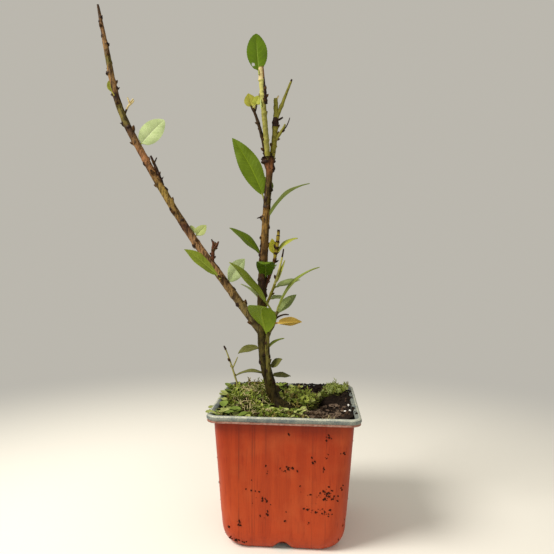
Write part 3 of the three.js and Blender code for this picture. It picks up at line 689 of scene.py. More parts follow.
def blade_faces(present):
    """Faces of a blade's upper side, underside and edges, and what each of them is."""
    rows, columns = present.shape
    middle, count = columns // 2, columns + 1
    size = (rows + 1) * count
    vein_rows, (first, last) = round(BLADE["vein_spacing"] / BLADE["row"]), BLADE["veined"]
    faces, looks = [], []
    for i, j in np.argwhere(present):
        low, high = i * count + j, (i + 1) * count + j
        is_rib = j in (middle - 1, middle)
        offset = vein_rows // 2 if j >= middle else 0
        is_vein = (i + offset) % vein_rows == 0 and first < i / rows < last and 1 < j < columns - 2
        faces.append([low, low + 1, high + 1, high])
        looks.append(MIDRIB if is_rib else SIDE_VEIN if is_vein else BLADE_TOP)
        faces.append([size + low, size + high, size + high + 1, size + low + 1])
        looks.append(MIDRIB if is_rib else BLADE_UNDER)
        edges = (
            (i - 1, j, low, low + 1), (i + 1, j, high + 1, high),
            (i, j - 1, high, low), (i, j + 1, low + 1, high + 1),
        )
        for row, column, start, end in edges:
            inside = 0 <= row < rows and 0 <= column < columns
            if not (inside and present[row, column]):
                faces.append([start, size + start, size + end, end])
                looks.append(BLADE_UNDER)
    return faces, looks


def add_leaf(heap, root, leaf, chance):
    """A leaf on its stalk: a folded blade with raised quilting, side veins and a toothed margin."""
    path = arc_path(root, leaf)
    stalk = leaf.get("petiole", BLADE["petiole"]) / leaf["length"]
    blade_length = leaf["length"] * (1 - stalk)
    rows, columns = max(24, round(blade_length / BLADE["row"])), BLADE["columns"]
    across = np.arange(-columns, columns + 1) / columns
    across = np.sign(across) * np.abs(across) ** BLADE["crowding"]
    share = np.linspace(0, 1, rows + 1)
    # Rows slant forward towards the margin, as the side veins do
    slant = BLADE["slant"] * blade_outline(share, leaf) * leaf["width"] / 2 / blade_length
    at_margin = np.minimum(share + slant, 1 - (1 - share) * 0.3)
    half = toothed_half(leaf, at_margin, blade_length)
    places = share[:, None] + np.abs(across) * (at_margin - share)[:, None]
    middle, side, face = leaf_lines(path, leaf, stalk + (1 - stalk) * places)
    lift = blade_lift(leaf, share, places, across, half, blade_length, chance)
    top = middle + side * (across * half[:, None])[..., None] + face * lift[..., None]
    rib = BLADE["rib"] * (1 - places) * np.exp(-((across * half[:, None] / BLADE["rib_width"]) ** 2))
    thickness = BLADE["thickness"] * (1 - BLADE["thinning"] * np.abs(across)[None, :] ** 3) + rib
    under = top - face * thickness[..., None]
    faces, looks = blade_faces(cells_left(leaf, places, across, half, blade_length))
    heap.add(np.concatenate([top.reshape(-1, 3), under.reshape(-1, 3)]), faces, looks)
    line = path.at(np.linspace(0, stalk * 1.02 + 0.03, 10))
    spread = BLADE["stalk_radius"] * read_off([1.15, 0.95, 0.85, 0.6], np.linspace(0, 1, 10))
    heap.add_tube(line, spread, 8, STALK)


def add_twig(heap, path, growth, seed, chance):
    """A thin stem, knobbed at each bud and at its nodes."""
    spacing = growth.get("bud_spacing")
    buds = buds_along(growth["length"], spacing, BUD["size"], seed) if spacing else []
    shares = np.linspace(0, 1, max(12, round(path.length / TWIG["ring"])))
    taper = growth.get("taper", TWIG["taper"])
    spread = growth["radius"] * read_off(taper, shares)
    for bud in buds:
        near = np.abs(shares - bud["at"]) * path.length
        swelling = BUD["swelling"] * np.exp(-((near / 1.1) ** 2))
        spread = spread * (1 + swelling + BUD["ridge"] * np.exp(-((near / 0.35) ** 2)))
    for at, height, long in growth.get("knobs", ()):
        spread = spread + height * np.exp(-(((shares - at) * path.length / long) ** 2))
    sides = TWIG["sides"]
    turns = around(sides)
    circle = np.stack([np.cos(turns), np.sin(turns), np.zeros(sides)], -1)
    grain = rough(path.at(shares)[:, None] + circle[None], TWIG["lump"], 2, seed * 0.37)
    rings = round_tip(spread[:, None] * (1 + TWIG["lump_depth"] * grain), [0.8, 0.95])
    starts, woods = zip(*growth["tints"])
    looks = [list(WOODS).index(wood) for wood in woods]
    band = [looks[max(0, int(np.searchsorted(starts, share, "right")) - 1)] for share in shares[:-1]]
    face_looks = [look for look in band for _ in range(sides)] + [looks[0]] * sides + [looks[-1]] * sides
    heap.add_tube(path.at(shares), rings, sides, face_looks)
    for bud in buds:
        seat, lean, _ = bud_seat(path, bud, growth["radius"] * read_off(taper, bud["at"]))
        add_bud(heap, seat, lean, bud["size"], chance, list(WOODS).index("bud"))


# Pot and compost


def rounded_square(half, corner, z, corner_steps=10, side_steps=8):
    """One level of a square with round corners, anticlockwise from above."""
    reach = half - corner
    arcs = []
    for quarter, middle in enumerate(((1, -1), (1, 1), (-1, 1), (-1, -1))):
        turns = [(quarter - 1 + i / corner_steps) * math.pi / 2 for i in range(corner_steps + 1)]
        arc = np.array([(math.cos(turn), math.sin(turn)) for turn in turns])
        arcs.append(reach * np.array(middle) + corner * arc)
    shares = np.arange(1, side_steps)[:, None] / side_steps
    points = []
    for arc, after in zip(arcs, arcs[1:] + arcs[:1]):
        points += [arc, arc[-1] + (after[0] - arc[-1]) * shares]
    level = np.vstack(points)
    return np.column_stack([level, np.full(len(level), float(z))])


def pot_half(z):
    """Half width of the pot's outside at a height, with the curve in to the foot."""
    straight = (POT["foot_width"] + (POT["top_width"] - POT["foot_width"]) * z / WALL_TOP) / 2
    under = max(0, POT["foot_round"] - z) / POT["foot_round"]
    return straight - POT["foot_inset"] * (1 - math.sqrt(1 - under * under))


def pot_corner(z):
    """The radius of the pot's corners at a height."""
    return POT["foot_corner"] + (POT["top_corner"] - POT["foot_corner"]) * z / WALL_TOP


def pot_level(z, inset):
    """A level of the pot's wall, drawn in by inset."""
    level = min(z, WALL_TOP)
    return rounded_square(pot_half(level) - inset, pot_corner(level) - inset, z)


def notch_cutter(materials):
    """Bell-shaped prisms that cut the foot of each side and a little of the floor."""
    heap = Heap()
    x = (np.arange(NOTCH["steps"] + 1) / NOTCH["steps"] - 0.5) * NOTCH["width"]
    z = NOTCH["height"] * ((1 + np.cos(2 * math.pi * x / NOTCH["width"])) / 2) ** 0.85
    outline = [(x[0], -1), *zip(x, z), (x[-1], -1)]
    count = len(outline)
    faces = [[i, (i + 1) % count, count + (i + 1) % count, count + i] for i in range(count)]
    faces += [list(range(count)), list(range(2 * count - 1, count - 1, -1))]
    outer = POT["foot_width"] / 2 + 1
    prism = np.array([(px, y, pz) for y in (-outer, NOTCH["reach"] - outer) for px, pz in outline])
    for side in range(NOTCH["count"]):
        heap.add(turned(prism, np.array([0, 0, 1]), side * 360 / NOTCH["count"]), faces)
    return make_piece("notch_cutter", heap, materials)


def cut_away(piece, cutter):
    """The piece with the cutter's shape cut out of it for good."""
    cut = piece.modifiers.new("cut", "BOOLEAN")
    cut.object = cutter
    cut.solver = "EXACT"
    bpy.context.view_layer.update()
    graph = bpy.context.evaluated_depsgraph_get()
    mesh = bpy.data.meshes.new_from_object(piece.evaluated_get(graph))
    piece.modifiers.clear()
    piece.data = mesh
    bpy.data.objects.remove(cutter)


# Faces of the pot by the side of the two-tone sheet that shows, with a painted highlight on the top of the
# rim's bead and painted shade down the rim's inner roll
OUTSIDE, INSIDE, TRIMMED, PAINTED_HIGHLIGHT, PAINTED_SHADE = range(5)
# The rolled rim's section: how round its outer bead is, and its roll in to the wall
RIM_BEAD, RIM_ROLL = 1.35, 2.45
# The stacking step: a faint ledge round the wall, that a pot below would rest against
LEDGE = {"height": 15, "depth": 0.12, "fade": 0.8}
# Thin sheet sways in slow waves, and a rolled rim has dents
SWAY = {"length": 26, "depth": 0.14}
DENTS = {"length": 11, "depth": 0.12}
UNDERSIDE_INSET = 0.25


def make_pot(materials):
    """The wall and floor of the pot, slightly wavy as thin sheet is, with its four drain notches."""
    foot, floor = POT["foot_round"], POT["floor"]
    curve = [foot * (1 - math.cos(i / 14 * math.pi / 2)) for i in range(1, 15)]
    levels = [0, 0.12, 0.4, *[z for z in curve if z > 0.6]]
    levels += [*np.arange(foot + 1.5, WALL_TOP, 1.5), WALL_TOP + 0.35]
    outside = []
    for z in levels:
        step = LEDGE["depth"] / (1 + math.exp((z - LEDGE["height"]) / LEDGE["fade"] * 4))
        outside.append(pot_level(z, step + (UNDERSIDE_INSET if z == 0 else 0)))
    inner_levels = [*[z for z in reversed(levels) if z > floor + 1], floor + 0.6, floor]
    inside = [pot_level(z, POT["wall"]) for z in inner_levels]
    rings = np.array(outside + inside)
    sway = rough(rings, SWAY["length"], 1, 3.1) * SWAY["depth"]
    away = unit(rings * (1, 1, 0))
    rings = rings - away * (np.abs(sway) * (rings[..., 2] > 1.5))[..., None]
    points, faces = lofted(rings)
    count = rings.shape[1]
    looks = [OUTSIDE if min(face) // count < len(outside) - 1 else INSIDE for face in faces[:-2 * count]]
    looks += [OUTSIDE] * count + [INSIDE] * count
    heap = Heap()
    heap.add(points, faces, looks)
    pot = make_piece("pot_wall", heap, materials, ["pot"])
    cut_away(pot, notch_cutter(materials))


def arc_points(centre, radius, start, end, steps):
    """Points of an arc in a section, angles in degrees."""
    angles = np.radians(np.linspace(start, end, steps))
    return [(centre[0] + radius * math.cos(a), centre[1] + radius * math.sin(a)) for a in angles]


def make_rim(materials):
    """The rolled rim: a bead round its outer edge, a roll in to the wall and a trimmed skirt below."""
    top, lip, roof = POT["height"], POT["height"] - POT["rim_lip"], WALL_TOP + 0.3
    width = (POT["rim_width"] - POT["top_width"]) / 2 + POT["wall"]
    # Inset from the outer edge, and height: the trimmed skirt, the rolled bead and the roll in to the wall
    skirt = [(0.75, lip), (0.45, lip + 0.05), (0.3, lip + 0.3), (0.3, lip + 0.6), (0.5, lip + 0.85)]
    bead = arc_points((RIM_BEAD, top - RIM_BEAD), RIM_BEAD, 232, 92, 14)
    slope = arc_points((width - RIM_ROLL, top - RIM_ROLL), RIM_ROLL, 88, 12, 8)
    under = POT["rim_thickness"]
    back = [(width, roof), (under, roof), (under - 0.35, roof - 0.2), (0.95, lip + 0.1)]
    section = [*skirt, *bead, *slope, *back]
    rings = np.array([
        rounded_square(POT["rim_width"] / 2 - inset, POT["rim_corner"] - inset, z, side_steps=24)
        for inset, z in section
    ])
    dents = rough(rings, DENTS["length"], 2, 9.3)
    rings[..., 2] += DENTS["depth"] * dents * (rings[..., 2] > lip + 0.3) - 0.1 * np.abs(dents)
    away = unit(rings * (1, 1, 0))
    rings = rings - away * np.abs(dents * DENTS["depth"])[..., None]
    count, rows = rings.shape[1], len(section)
    faces, looks = [], []
    for row in range(rows):
        low, high = row * count, (row + 1) % rows * count
        faces += [[low + i, low + (i + 1) % count, high + (i + 1) % count, high + i] for i in range(count)]
        after_bead = row - len(skirt) - len(bead)
        # The bead's upper rows are lighter as a painted highlight, and the inner roll's steep rows and
        # underside are darker as painted shade
        look = PAINTED_HIGHLIGHT if -6 <= after_bead < 0 else PAINTED_SHADE if after_bead > 3 else INSIDE
        looks += [TRIMMED if row < len(skirt) or row == rows - 1 else look] * count
    heap = Heap()
    heap.add(rings, faces, looks)
    make_piece("pot_lip", heap, materials, ["pot_rim"])


# Soil and moss


# The compost is heaped against the wall: how high on each side, and where the bank starts and ends
BANK = {"right": 6.8, "back": 7, "front": 2.6, "left": 4.8, "from": 20, "reach": 12}
INNER_WALL = POT["top_width"] / 2 - POT["wall"]
SEEDS = {"crumbs": 31, "stalks": 47, "moss": 59, "seedlings": 71, "dirt": 83}


def smooth(share):
    """A smooth step up from 0 to 1."""
    share = np.clip(share, 0, 1)
    return share * share * (3 - 2 * share)


# The crumbly surface of the bed: the pitch and depth of its clods and of its crumbs, and how far it sank
CLODS = {"pitch": 5.5, "depth": 0.7}
FINES = {"pitch": 1.5, "depth": 0.55}
SUNK = 0.25
# The bed's own corner, its gap to the wall, its rings and how far its edge turns down
BED = {"corner": 4.9, "gap": 0.05, "rings": 66, "edge": 0.8}


def compost_height(x, y):
    """Height of the compost: gently uneven, and level round the stem's foot."""
    foot_x, foot_y = LIMBS["trunk"]["stations"][0][:2]
    calm = smooth(np.hypot(x - foot_x, y - foot_y) / COMPOST["calm_radius"] - 1)
    wave_x, wave_y = (value / COMPOST["pitch"] + phase for value, phase in zip((x, y), COMPOST["phase"]))
    bank = 0
    for distance, side in ((x, "right"), (y, "back"), (-y, "front"), (-x, "left")):
        bank = np.maximum(bank, BANK[side] * smooth((distance - BANK["from"]) / BANK["reach"]))
    return COMPOST["level"] + COMPOST["swell"] * np.sin(wave_x) * np.cos(wave_y) * calm + bank


def in_room(x, y, margin):
    """Whether a place on the compost is inside the pot's wall by a margin."""
    half = pot_half(COMPOST["level"]) - POT["wall"] - margin
    corner = POT["top_corner"] - POT["wall"]
    over_x, over_y = max(abs(x) - half + corner, 0), max(abs(y) - half + corner, 0)
    return max(abs(x), abs(y)) < half and math.hypot(over_x, over_y) < corner


def soil_height(x, y):
    """The compost's own surface with its crumbs and hollows."""
    places = np.stack(np.broadcast_arrays(x, y, 0.0), -1)
    coarse, fine = rough(places, CLODS["pitch"], 2, 1.7), rough(places, FINES["pitch"], 3, 4.2)
    return compost_height(x, y) + CLODS["depth"] * coarse + FINES["depth"] * np.abs(fine) - SUNK


def make_compost(materials):
    """The bed of moist peat compost, closed underneath."""
    half = pot_half(COMPOST["level"] + 4) - POT["wall"] - BED["gap"]
    outline = rounded_square(half, BED["corner"], 0, 14, 46)
    rings = [outline * (0.985, 0.985, 0) + (0, 0, COMPOST["level"] - depth) for depth in (9, 3)]
    for share in np.linspace(1, 0.012, BED["rings"]):
        ring = outline * share
        edge = np.clip((share - 0.95) / 0.05, 0, 1) * BED["edge"]
        ring[:, 2] = soil_height(ring[:, 0], ring[:, 1]) - edge
        rings.append(ring)
    heap = Heap()
    heap.add(*lofted(rings))
    make_piece("compost_bed", heap, materials, ["compost"], crease=60)


def lump_shape():
    """The corners and faces that each crumb is squashed from."""
    shell = bmesh.new()
    bmesh.ops.create_icosphere(shell, subdivisions=1, radius=1)
    points = np.array([vertex.co[:] for vertex in shell.verts])
    faces = [[vertex.index for vertex in face.verts] for face in shell.faces]
    shell.free()
    return points, faces


LUMP_POINTS, LUMP_FACES = lump_shape()


def rotation(angle, axis):
    """A turn by an angle in radians about X, Y or Z."""
    return np.array(Matrix.Rotation(angle, 3, axis))


def random_turn(chance):
    """A turn drawn from a seeded chance."""
    turn = Matrix.Rotation(chance.uniform(0, 6.28), 3, "Z") @ Matrix.Rotation(chance.uniform(-1, 1), 3, "X")
    return np.array(turn @ Matrix.Rotation(chance.uniform(0, 6.28), 3, "Z"))


def add_crumb(heap, place, size, flat, look, chance, turn=None):
    """A crumb of soil or bark: a jagged lump, flatter where flat is under one."""
    jag = np.array([chance.uniform(0.65, 1.25) for _ in LUMP_POINTS])[:, None]
    shape = LUMP_POINTS * jag * (size, size * chance.uniform(0.5, 1), size * flat)
    spin = random_turn(chance) if turn is None else turn
    heap.add(shape @ spin.T + place, LUMP_FACES, look)


# Faces of what lies on the compost
PEAT, BROWN, BARK_CHIP, GRIT = range(4)
CRUMBS = {"count": 1500, "least": 0.35, "most": 1.1, "flat": (0.5, 0.9), "peat_share": 0.7}
# Chips of bark: the middle and reach of each patch, and how many it has
CHIP_PATCHES = [
    (14, -7, 8, 5, 26), (24, -9, 6, 4, 14), (18, -20, 9, 6, 12), (20, 6, 7, 7, 10), (-10, -22, 14, 6, 6),
]
CHIP = {"least": 1, "most": 2.6, "flat": 0.28, "tilt": 0.35}
# White grains: x, y, size, and how far each is raised where it lies on moss
GRITS = [
    (31.3, -5.8, 0.8, 0), (29, -18, 0.9, 0), (31.2, -19.5, 0.7, 0), (-5, -20, 0.9, 2.2), (12, 20, 0.6, 0),
]
# Compost spilled on the rim: how many crumbs lie along its back and right sides, and how wide the spill is
SPILL = {"back": 400, "right": 80, "width": 2.3, "size": (0.4, 1.1), "flat": (0.4, 0.7)}


def spilled_places(chance):
    """Places on the rim's back and right sides, thickest by the wall's inner face."""
    inner, width = INNER_WALL - 0.2, SPILL["width"]
    places = []
    for _ in range(SPILL["back"]):
        places.append((chance.uniform(-inner, inner), inner + width * chance.random() ** 1.3))
    for _ in range(SPILL["right"]):
        places.append((inner + width * chance.random() ** 1.8, chance.uniform(-inner * 0.8, inner)))
    return places


def add_loose_crumbs(heap, chance):
    """Crumbs strewn over the compost, most of them small."""
    half = POT["top_width"] / 2
    for _ in range(CRUMBS["count"]):
        x, y = chance.uniform(-half, half), chance.uniform(-half, half)
        if in_room(x, y, 1):
            size = CRUMBS["least"] + (CRUMBS["most"] - CRUMBS["least"]) * chance.random() ** 2.5
            place = (x, y, soil_height(x, y) + 0.25 * size)
            look = PEAT if chance.random() < CRUMBS["peat_share"] else BROWN
            add_crumb(heap, place, size, chance.uniform(*CRUMBS["flat"]), look, chance)


def add_spilled_crumbs(heap, chance):
    """Crumbs on the rim, seated on its roll."""
    rim_half = POT["rim_width"] / 2
    for x, y in spilled_places(chance):
        size = chance.uniform(*SPILL["size"])
        # How far the rim's roll has fallen away there
        inset = rim_half - max(abs(x), abs(y)) - (rim_half - INNER_WALL - RIM_ROLL)
        drop = RIM_ROLL - math.sqrt(RIM_ROLL**2 - np.clip(inset, 0, 0.95 * RIM_ROLL) ** 2)
        place = (x, y, POT["height"] - drop - 0.1 + 0.2 * size)
        add_crumb(heap, place, size, chance.uniform(*SPILL["flat"]), PEAT, chance)


def add_chips(heap, chance):
    """Flat chips of bark in their patches, each nearly level."""
    for middle_x, middle_y, reach_x, reach_y, count in CHIP_PATCHES:
        for _ in range(count):
            x, y = middle_x + chance.uniform(-reach_x, reach_x), middle_y + chance.uniform(-reach_y, reach_y)
            if in_room(x, y, 2.2):
                size = chance.uniform(CHIP["least"], CHIP["most"])
                tilt = rotation(chance.uniform(-CHIP["tilt"], CHIP["tilt"]), "X")
                spin = rotation(chance.uniform(0, 6.28), "Z") @ tilt
                place = (x, y, soil_height(x, y) + 0.45)
                add_crumb(heap, place, size, CHIP["flat"], BARK_CHIP, chance, spin)


def make_crumbs(materials):
    """Loose crumbs, chips of bark and a few white grains on the compost, and crumbs on the rim."""
    heap, chance = Heap(), random.Random(SEEDS["crumbs"])
    add_loose_crumbs(heap, chance)
    add_spilled_crumbs(heap, chance)
    add_chips(heap, chance)
    for x, y, size, raised in GRITS:
        add_crumb(heap, (x, y, soil_height(x, y) + 0.5 * size + raised), size, 0.8, GRIT, chance)
    make_piece("compost_crumbs", heap, materials, crease=25)


# Dry stalks: the middle and reach of each patch, how many, their length and the share of root hairs
STALK_PATCHES = [
    (-19, 6, 11, 22, 130, 13, 0.2), (-12, -16, 10, 8, 30, 10, 0.4), (14, -14, 12, 14, 14, 9, 0.85),
    (4, 12, 9, 12, 24, 8, 0.3), (20, -22, 9, 6, 12, 8, 0.85),
]
# Each runs through these many places, bends by up to this much at each, and is lifted off by up to this
DRY_STALK = {"places": 9, "bend": 0.22, "lift": 2.8, "radius": (0.12, 0.26), "taper": [0.7, 1, 1, 0.5]}


def surface_height(x, y):
    """Height of the compost or of the mound of moss that covers it."""
    best = compost_height(x, y)
    for mound in MOSS_MOUNDS.values():
        away = ((x - mound["x"]) / mound["radius_x"]) ** 2 + ((y - mound["y"]) / mound["radius_y"]) ** 2
        if away < 1:
            best = max(best, COMPOST["level"] + mound["height"] * math.sqrt(1 - away))
    return best


def make_thatch(materials):
    """Dry grass-like stalks and root hairs that lie tangled on the moss and compost."""
    heap, chance, most = Heap(), random.Random(SEEDS["stalks"]), DRY_STALK["places"]
    for middle_x, middle_y, reach_x, reach_y, count, length, roots in STALK_PATCHES:
        for _ in range(count):
            x, y = middle_x + chance.gauss(0, reach_x / 2), middle_y + chance.gauss(0, reach_y / 2)
            heading, bend = chance.uniform(0, 6.28), chance.uniform(-DRY_STALK["bend"], DRY_STALK["bend"])
            step = length * chance.uniform(0.4, 1) / (most - 1)
            lift = DRY_STALK["lift"] * chance.random()
            points = []
            while len(points) < most and in_room(x, y, 0.8):
                points.append((x, y, surface_height(x, y) + 0.5 + lift * chance.uniform(0.6, 1.2)))
                x, y = x + math.cos(heading) * step, y + math.sin(heading) * step
                heading += bend
            if len(points) > 3:
                line = Path(points).at(np.linspace(0, 1, 3 * len(points)))
                taper = read_off(DRY_STALK["taper"], np.linspace(0, 1, len(line)))
                spread = chance.uniform(*DRY_STALK["radius"]) * taper
                heap.add_tube(line, spread, 5, int(chance.random() < roots))
    make_piece("dry_stalks", heap, materials, crease=60)


# A small closed leaf of eight faces: folded along its middle, pointed at both ends
LEAFLET_POINTS = np.array([
    (0, 0, 0), (0.45, 0.5, 0.14), (1, 0, 0.1), (0.45, -0.5, 0.14), (0.5, 0, 0.02), (0.5, 0, -0.12),
])
LEAFLET_FACES = [[0, 4, 1], [1, 4, 2], [2, 4, 3], [3, 4, 0], [0, 1, 5], [1, 2, 5], [2, 3, 5], [3, 0, 5]]


def add_leaflet(heap, root, bearing, pitch, length, width, look):
    """One leaflet, growing from its root along a bearing and a pitch in radians."""
    level = math.cos(pitch)
    ahead = np.array([math.cos(bearing) * level, math.sin(bearing) * level, math.sin(pitch)])
    side = np.array([-math.sin(bearing), math.cos(bearing), 0])
    along, across, up = LEAFLET_POINTS[:, :1], LEAFLET_POINTS[:, 1:2], LEAFLET_POINTS[:, 2:]
    placed = root + along * length * ahead + across * width * side + up * length * np.cross(ahead, side)
    heap.add(placed, LEAFLET_FACES, look)


# How each mound grows: sprigs to a square centimetre, their height, leaflet length and width, and tiers,
# then the share that is broad, and how much of it is pale or feathery
GROWTH = {
    "moss_left": dict(sprigs=15, height=3.4, leaflet=2.5, width=1.2, tiers=5, broad=0.45, pale=0.45),
    "moss_front": dict(sprigs=16, height=2.6, leaflet=2.8, width=1.5, tiers=4, broad=0.6, pale=0.12),
    "moss_middle": dict(sprigs=14, height=3.2, leaflet=3, width=1.6, tiers=4, broad=0.7, pale=1.1),
    "moss_corner": dict(
        sprigs=26, height=2.6, leaflet=3.2, width=0.8, tiers=6, broad=0, pale=0.5, feathery=2,
    ),
}
# Where bare peat shows in the mounds: from and to along x, then along y
BARE_PEAT = [(6, 20, 19, 33), (17, 34, -33, 15)]
GOLDEN_ANGLE = math.radians(137.5)
# A mound's bed: its height as a share of the mound's, its rings and sides, its lumps, and how far it is sunk
CUSHION = {"share": 0.86, "rings": 22, "sides": 72, "lump": 2.4, "lump_depth": 0.9, "sunk": 0.2, "foot": 2.5}
# Sprigs lean at random, on a stem that thins upwards, with broad leaflets or twice as many fine ones
SPRIG = {"lean": 0.28, "stem": [0.16, 0.14, 0.12, 0.06], "brown": 0.25, "rooted": 0.5}
BROAD_LEAFLETS = {"tiers": 1, "length": 1.15, "width": 1.5}
FINE_LEAFLETS = {"tiers": 2, "length": 0.8, "width": 0.75}
STEM_SPACE = (-1.5, 0, 4.6)  # the middle and radius of the stem's foot, which the moss leaves clear


def is_bare(x, y):
    """Whether a place is bare peat, with no moss."""
    return any(left < x < right and front < y < back for left, right, front, back in BARE_PEAT)


def mound_place(mound, chance):
    """A place on a mound, drawn evenly over it, or none where the pot, the stem or bare peat is."""
    away, bearing = math.sqrt(chance.random()) * 0.99, chance.uniform(0, 2 * math.pi)
    x = mound["x"] + mound["radius_x"] * away * math.cos(bearing)
    y = mound["y"] + mound["radius_y"] * away * math.sin(bearing)
    clear = math.hypot(x - STEM_SPACE[0], y - STEM_SPACE[1]) > STEM_SPACE[2]
    return (x, y) if in_room(x, y, 0.5) and clear and not is_bare(x, y) else None


def make_cushions(materials):
    """The dense bed of each mound, that its sprigs stand in."""
    heap, level = Heap(), COMPOST["level"]
    for mound in MOSS_MOUNDS.values():
        rings = []
        for share in (1, *np.linspace(1, 0.03, CUSHION["rings"])):
            z = level + mound["height"] * CUSHION["share"] * math.sqrt(1 - share * share)
            for turn in around(CUSHION["sides"]):
                x = mound["x"] + mound["radius_x"] * share * math.cos(turn)
                y = mound["y"] + mound["radius_y"] * share * math.sin(turn)
                while not in_room(x, y, 0.25):
                    x, y = x * 0.985, y * 0.985
                rings.append((x, y, z))
        rings = np.array(rings).reshape(-1, CUSHION["sides"], 3)
        rings[0][:, 2] = level - CUSHION["foot"]
        lumps = CUSHION["lump_depth"] * rough(rings, CUSHION["lump"], 3, 5.5)[1:]
        rings[1:, :, 2] += lumps - CUSHION["sunk"]
        points, faces = lofted(rings)
        middles = [points[face].mean(axis=0) for face in faces]
        heap.add(points, faces, [int(is_bare(x, y)) for x, y, _ in middles])
    make_piece("moss_cushions", heap, materials, list(MOSS_MOUNDS), crease=60)


def make_sprigs(materials):
    """Sprigs of moss and tiny seedlings: leaflets in tiers round short upright stems."""
    heap, chance = Heap(), random.Random(SEEDS["moss"])
    for name, growth in GROWTH.items():
        mound = MOSS_MOUNDS[name]
        area = math.pi * mound["radius_x"] * mound["radius_y"] / 100
        for _ in range(round(growth["sprigs"] * area)):
            place = mound_place(mound, chance)
            if place is None:
                continue
            foot = np.array([*place, surface_height(*place) - SPRIG["rooted"]])
            lean = np.array([chance.gauss(0, SPRIG["lean"]), chance.gauss(0, SPRIG["lean"]), 1])
            height = growth["height"] * chance.uniform(0.5, 1.25)
            kind = BROAD_LEAFLETS if chance.random() < growth["broad"] else FINE_LEAFLETS
            odds = (1 - growth["pale"], growth["pale"], SPRIG["brown"], growth.get("feathery", 0))
            look = chance.choices(range(4), odds)[0]
            turn = chance.uniform(0, 6.28)
            stem_line = foot + lean * (np.linspace(0, 1, 4) * height)[:, None]
            heap.add_tube(stem_line, SPRIG["stem"], 5, 2)
            tiers = growth["tiers"] * kind["tiers"]
            for up in (np.arange(tiers) + 1) / tiers:
                turn += GOLDEN_ANGLE
                size = growth["leaflet"] * kind["length"] * chance.uniform(0.75, 1.2)
                # The upper leaflets are smaller and steeper
                size *= 1.15 - 0.5 * up
                width = growth["width"] * kind["width"] * size / growth["leaflet"]
                pitch = 0.1 + 0.9 * up + chance.uniform(-0.2, 0.2)
                add_leaflet(heap, foot + lean * height * up, turn, pitch, size, width, look)
    make_piece("moss_sprigs", heap, materials, list(MOSS_MOUNDS), crease=30)


# A rounded leaf as shares of its length, and one in so many of the second green
ROUND_LEAF = {"fullness": 0.6, "widest_at": 0.56}
ROUND_WIDTH, ROUND_STALK, PALER_SHARE = 0.5, 0.28, 0.45
SMALL_BLADE = {"fold": 0.3, "thick": 0.16, "thinner_edge": 0.12, "stalk": 0.2}
# Seedlings with rounded leaves: the middle, how many leaves, their length and how far they rise
ROSETTES = [
    (-30.2, -17, 7, 8.4, 16), (-30, -27, 6, 7.8, 16), (-30.4, -6, 6, 8, 20), (-30.4, 7, 6, 8, 26),
    (-30, 19, 5, 7.4, 30), (-24, -22, 6, 7, 24), (-6, -17, 5, 7.4, 18), (-1.5, -15.5, 5, 7, 16),
    (-23, -3, 5, 6.6, 40), (14, 12, 5, 5.2, 40), (-26.5, -14, 6, 6.4, 28), (-28.5, -2, 6, 7.2, 22),
    (-28, 10, 6, 6.8, 30), (-26, 23, 5, 6, 30), (-21, -19, 6, 5.4, 26), (-17, -11, 6, 5.6, 30),
    (-12, -8, 6, 5, 28), (-7, -12, 7, 4.8, 24), (-2, -11, 7, 5.8, 14), (2.5, -9, 6, 5, 24),
    (7, -11, 5, 3.8, 34), (-13, -16, 6, 4.6, 28), (-22, -8, 5, 5, 36), (-15, -2, 5, 4.4, 40),
    (-9.5, -4, 5, 4, 36), (-21, 4, 6, 4.6, 38), (-15, 8, 5, 4.4, 42), (-22, 14, 6, 4.6, 38),
    (-12, 18, 6, 4.8, 40), (-17, 24, 5, 4.4, 40), (5.5, -3, 6, 4.6, 30), (9, 2, 6, 4.4, 34),
    (4, 5, 5, 4.2, 40), (8, 9, 6, 4.4, 36), (13, 6, 5, 4, 38), (2, 12, 6, 4.6, 40), (7, 17, 6, 4.4, 38),
    (-3, 18, 6, 4.8, 40), (12, 14, 5, 4, 40), (3, 24, 6, 4.6, 38), (-6, 26, 5, 4.4, 40),
    (16, 19, 5, 3.8, 40), (21, 25, 5, 3.8, 40), (-9, -24, 6, 4.6, 26), (-18, -26, 5, 4.4, 30),
    (2, -20, 6, 4.4, 26), (-28, -24, 5, 4.4, 30), (-1, 27, 6, 5.2, 40), (3.5, 28, 6, 5, 40),
    (-5, 29, 6, 4.8, 40), (0.5, 21, 6, 5.2, 40), (11, 4, 6, 4.8, 36), (5, -7.5, 7, 5.4, 28),
    (3, -5, 7, 5.4, 30), (6.5, -2.5, 7, 5.2, 34), (14.5, 11, 5, 4.6, 38),
]


def make_rosettes(materials):
    """Weed seedlings among the moss: rosettes of small rounded leaves on short stalks."""
    heap, chance = Heap(), random.Random(SEEDS["seedlings"])
    for x, y, count, length, rise in ROSETTES:
        root = np.array([x, y, surface_height(x, y) - 0.3])
        start = chance.uniform(0, 360)
        for i in range(count):
            size = length * chance.uniform(0.8, 1.2)
            bearing = start + i * 360 / count + chance.uniform(-18, 18)
            steep, roll = rise + 24 + chance.uniform(-8, 8), chance.uniform(-12, 12)
            width, petiole = size * ROUND_WIDTH, size * ROUND_STALK
            shape = leaf("", bearing, steep, 50, roll, size, width, petiole=petiole, **ROUND_LEAF)
            reach, tip = size * 0.75, np.radians(bearing)
            # A leaf may hang 5 mm over the wall, and no further
            if in_room(x + reach * math.cos(tip), y + reach * math.sin(tip), -5):
                add_small_leaf(heap, root, shape, int(chance.random() < PALER_SHARE))
    make_piece("seedling_rosettes", heap, materials, crease=50)


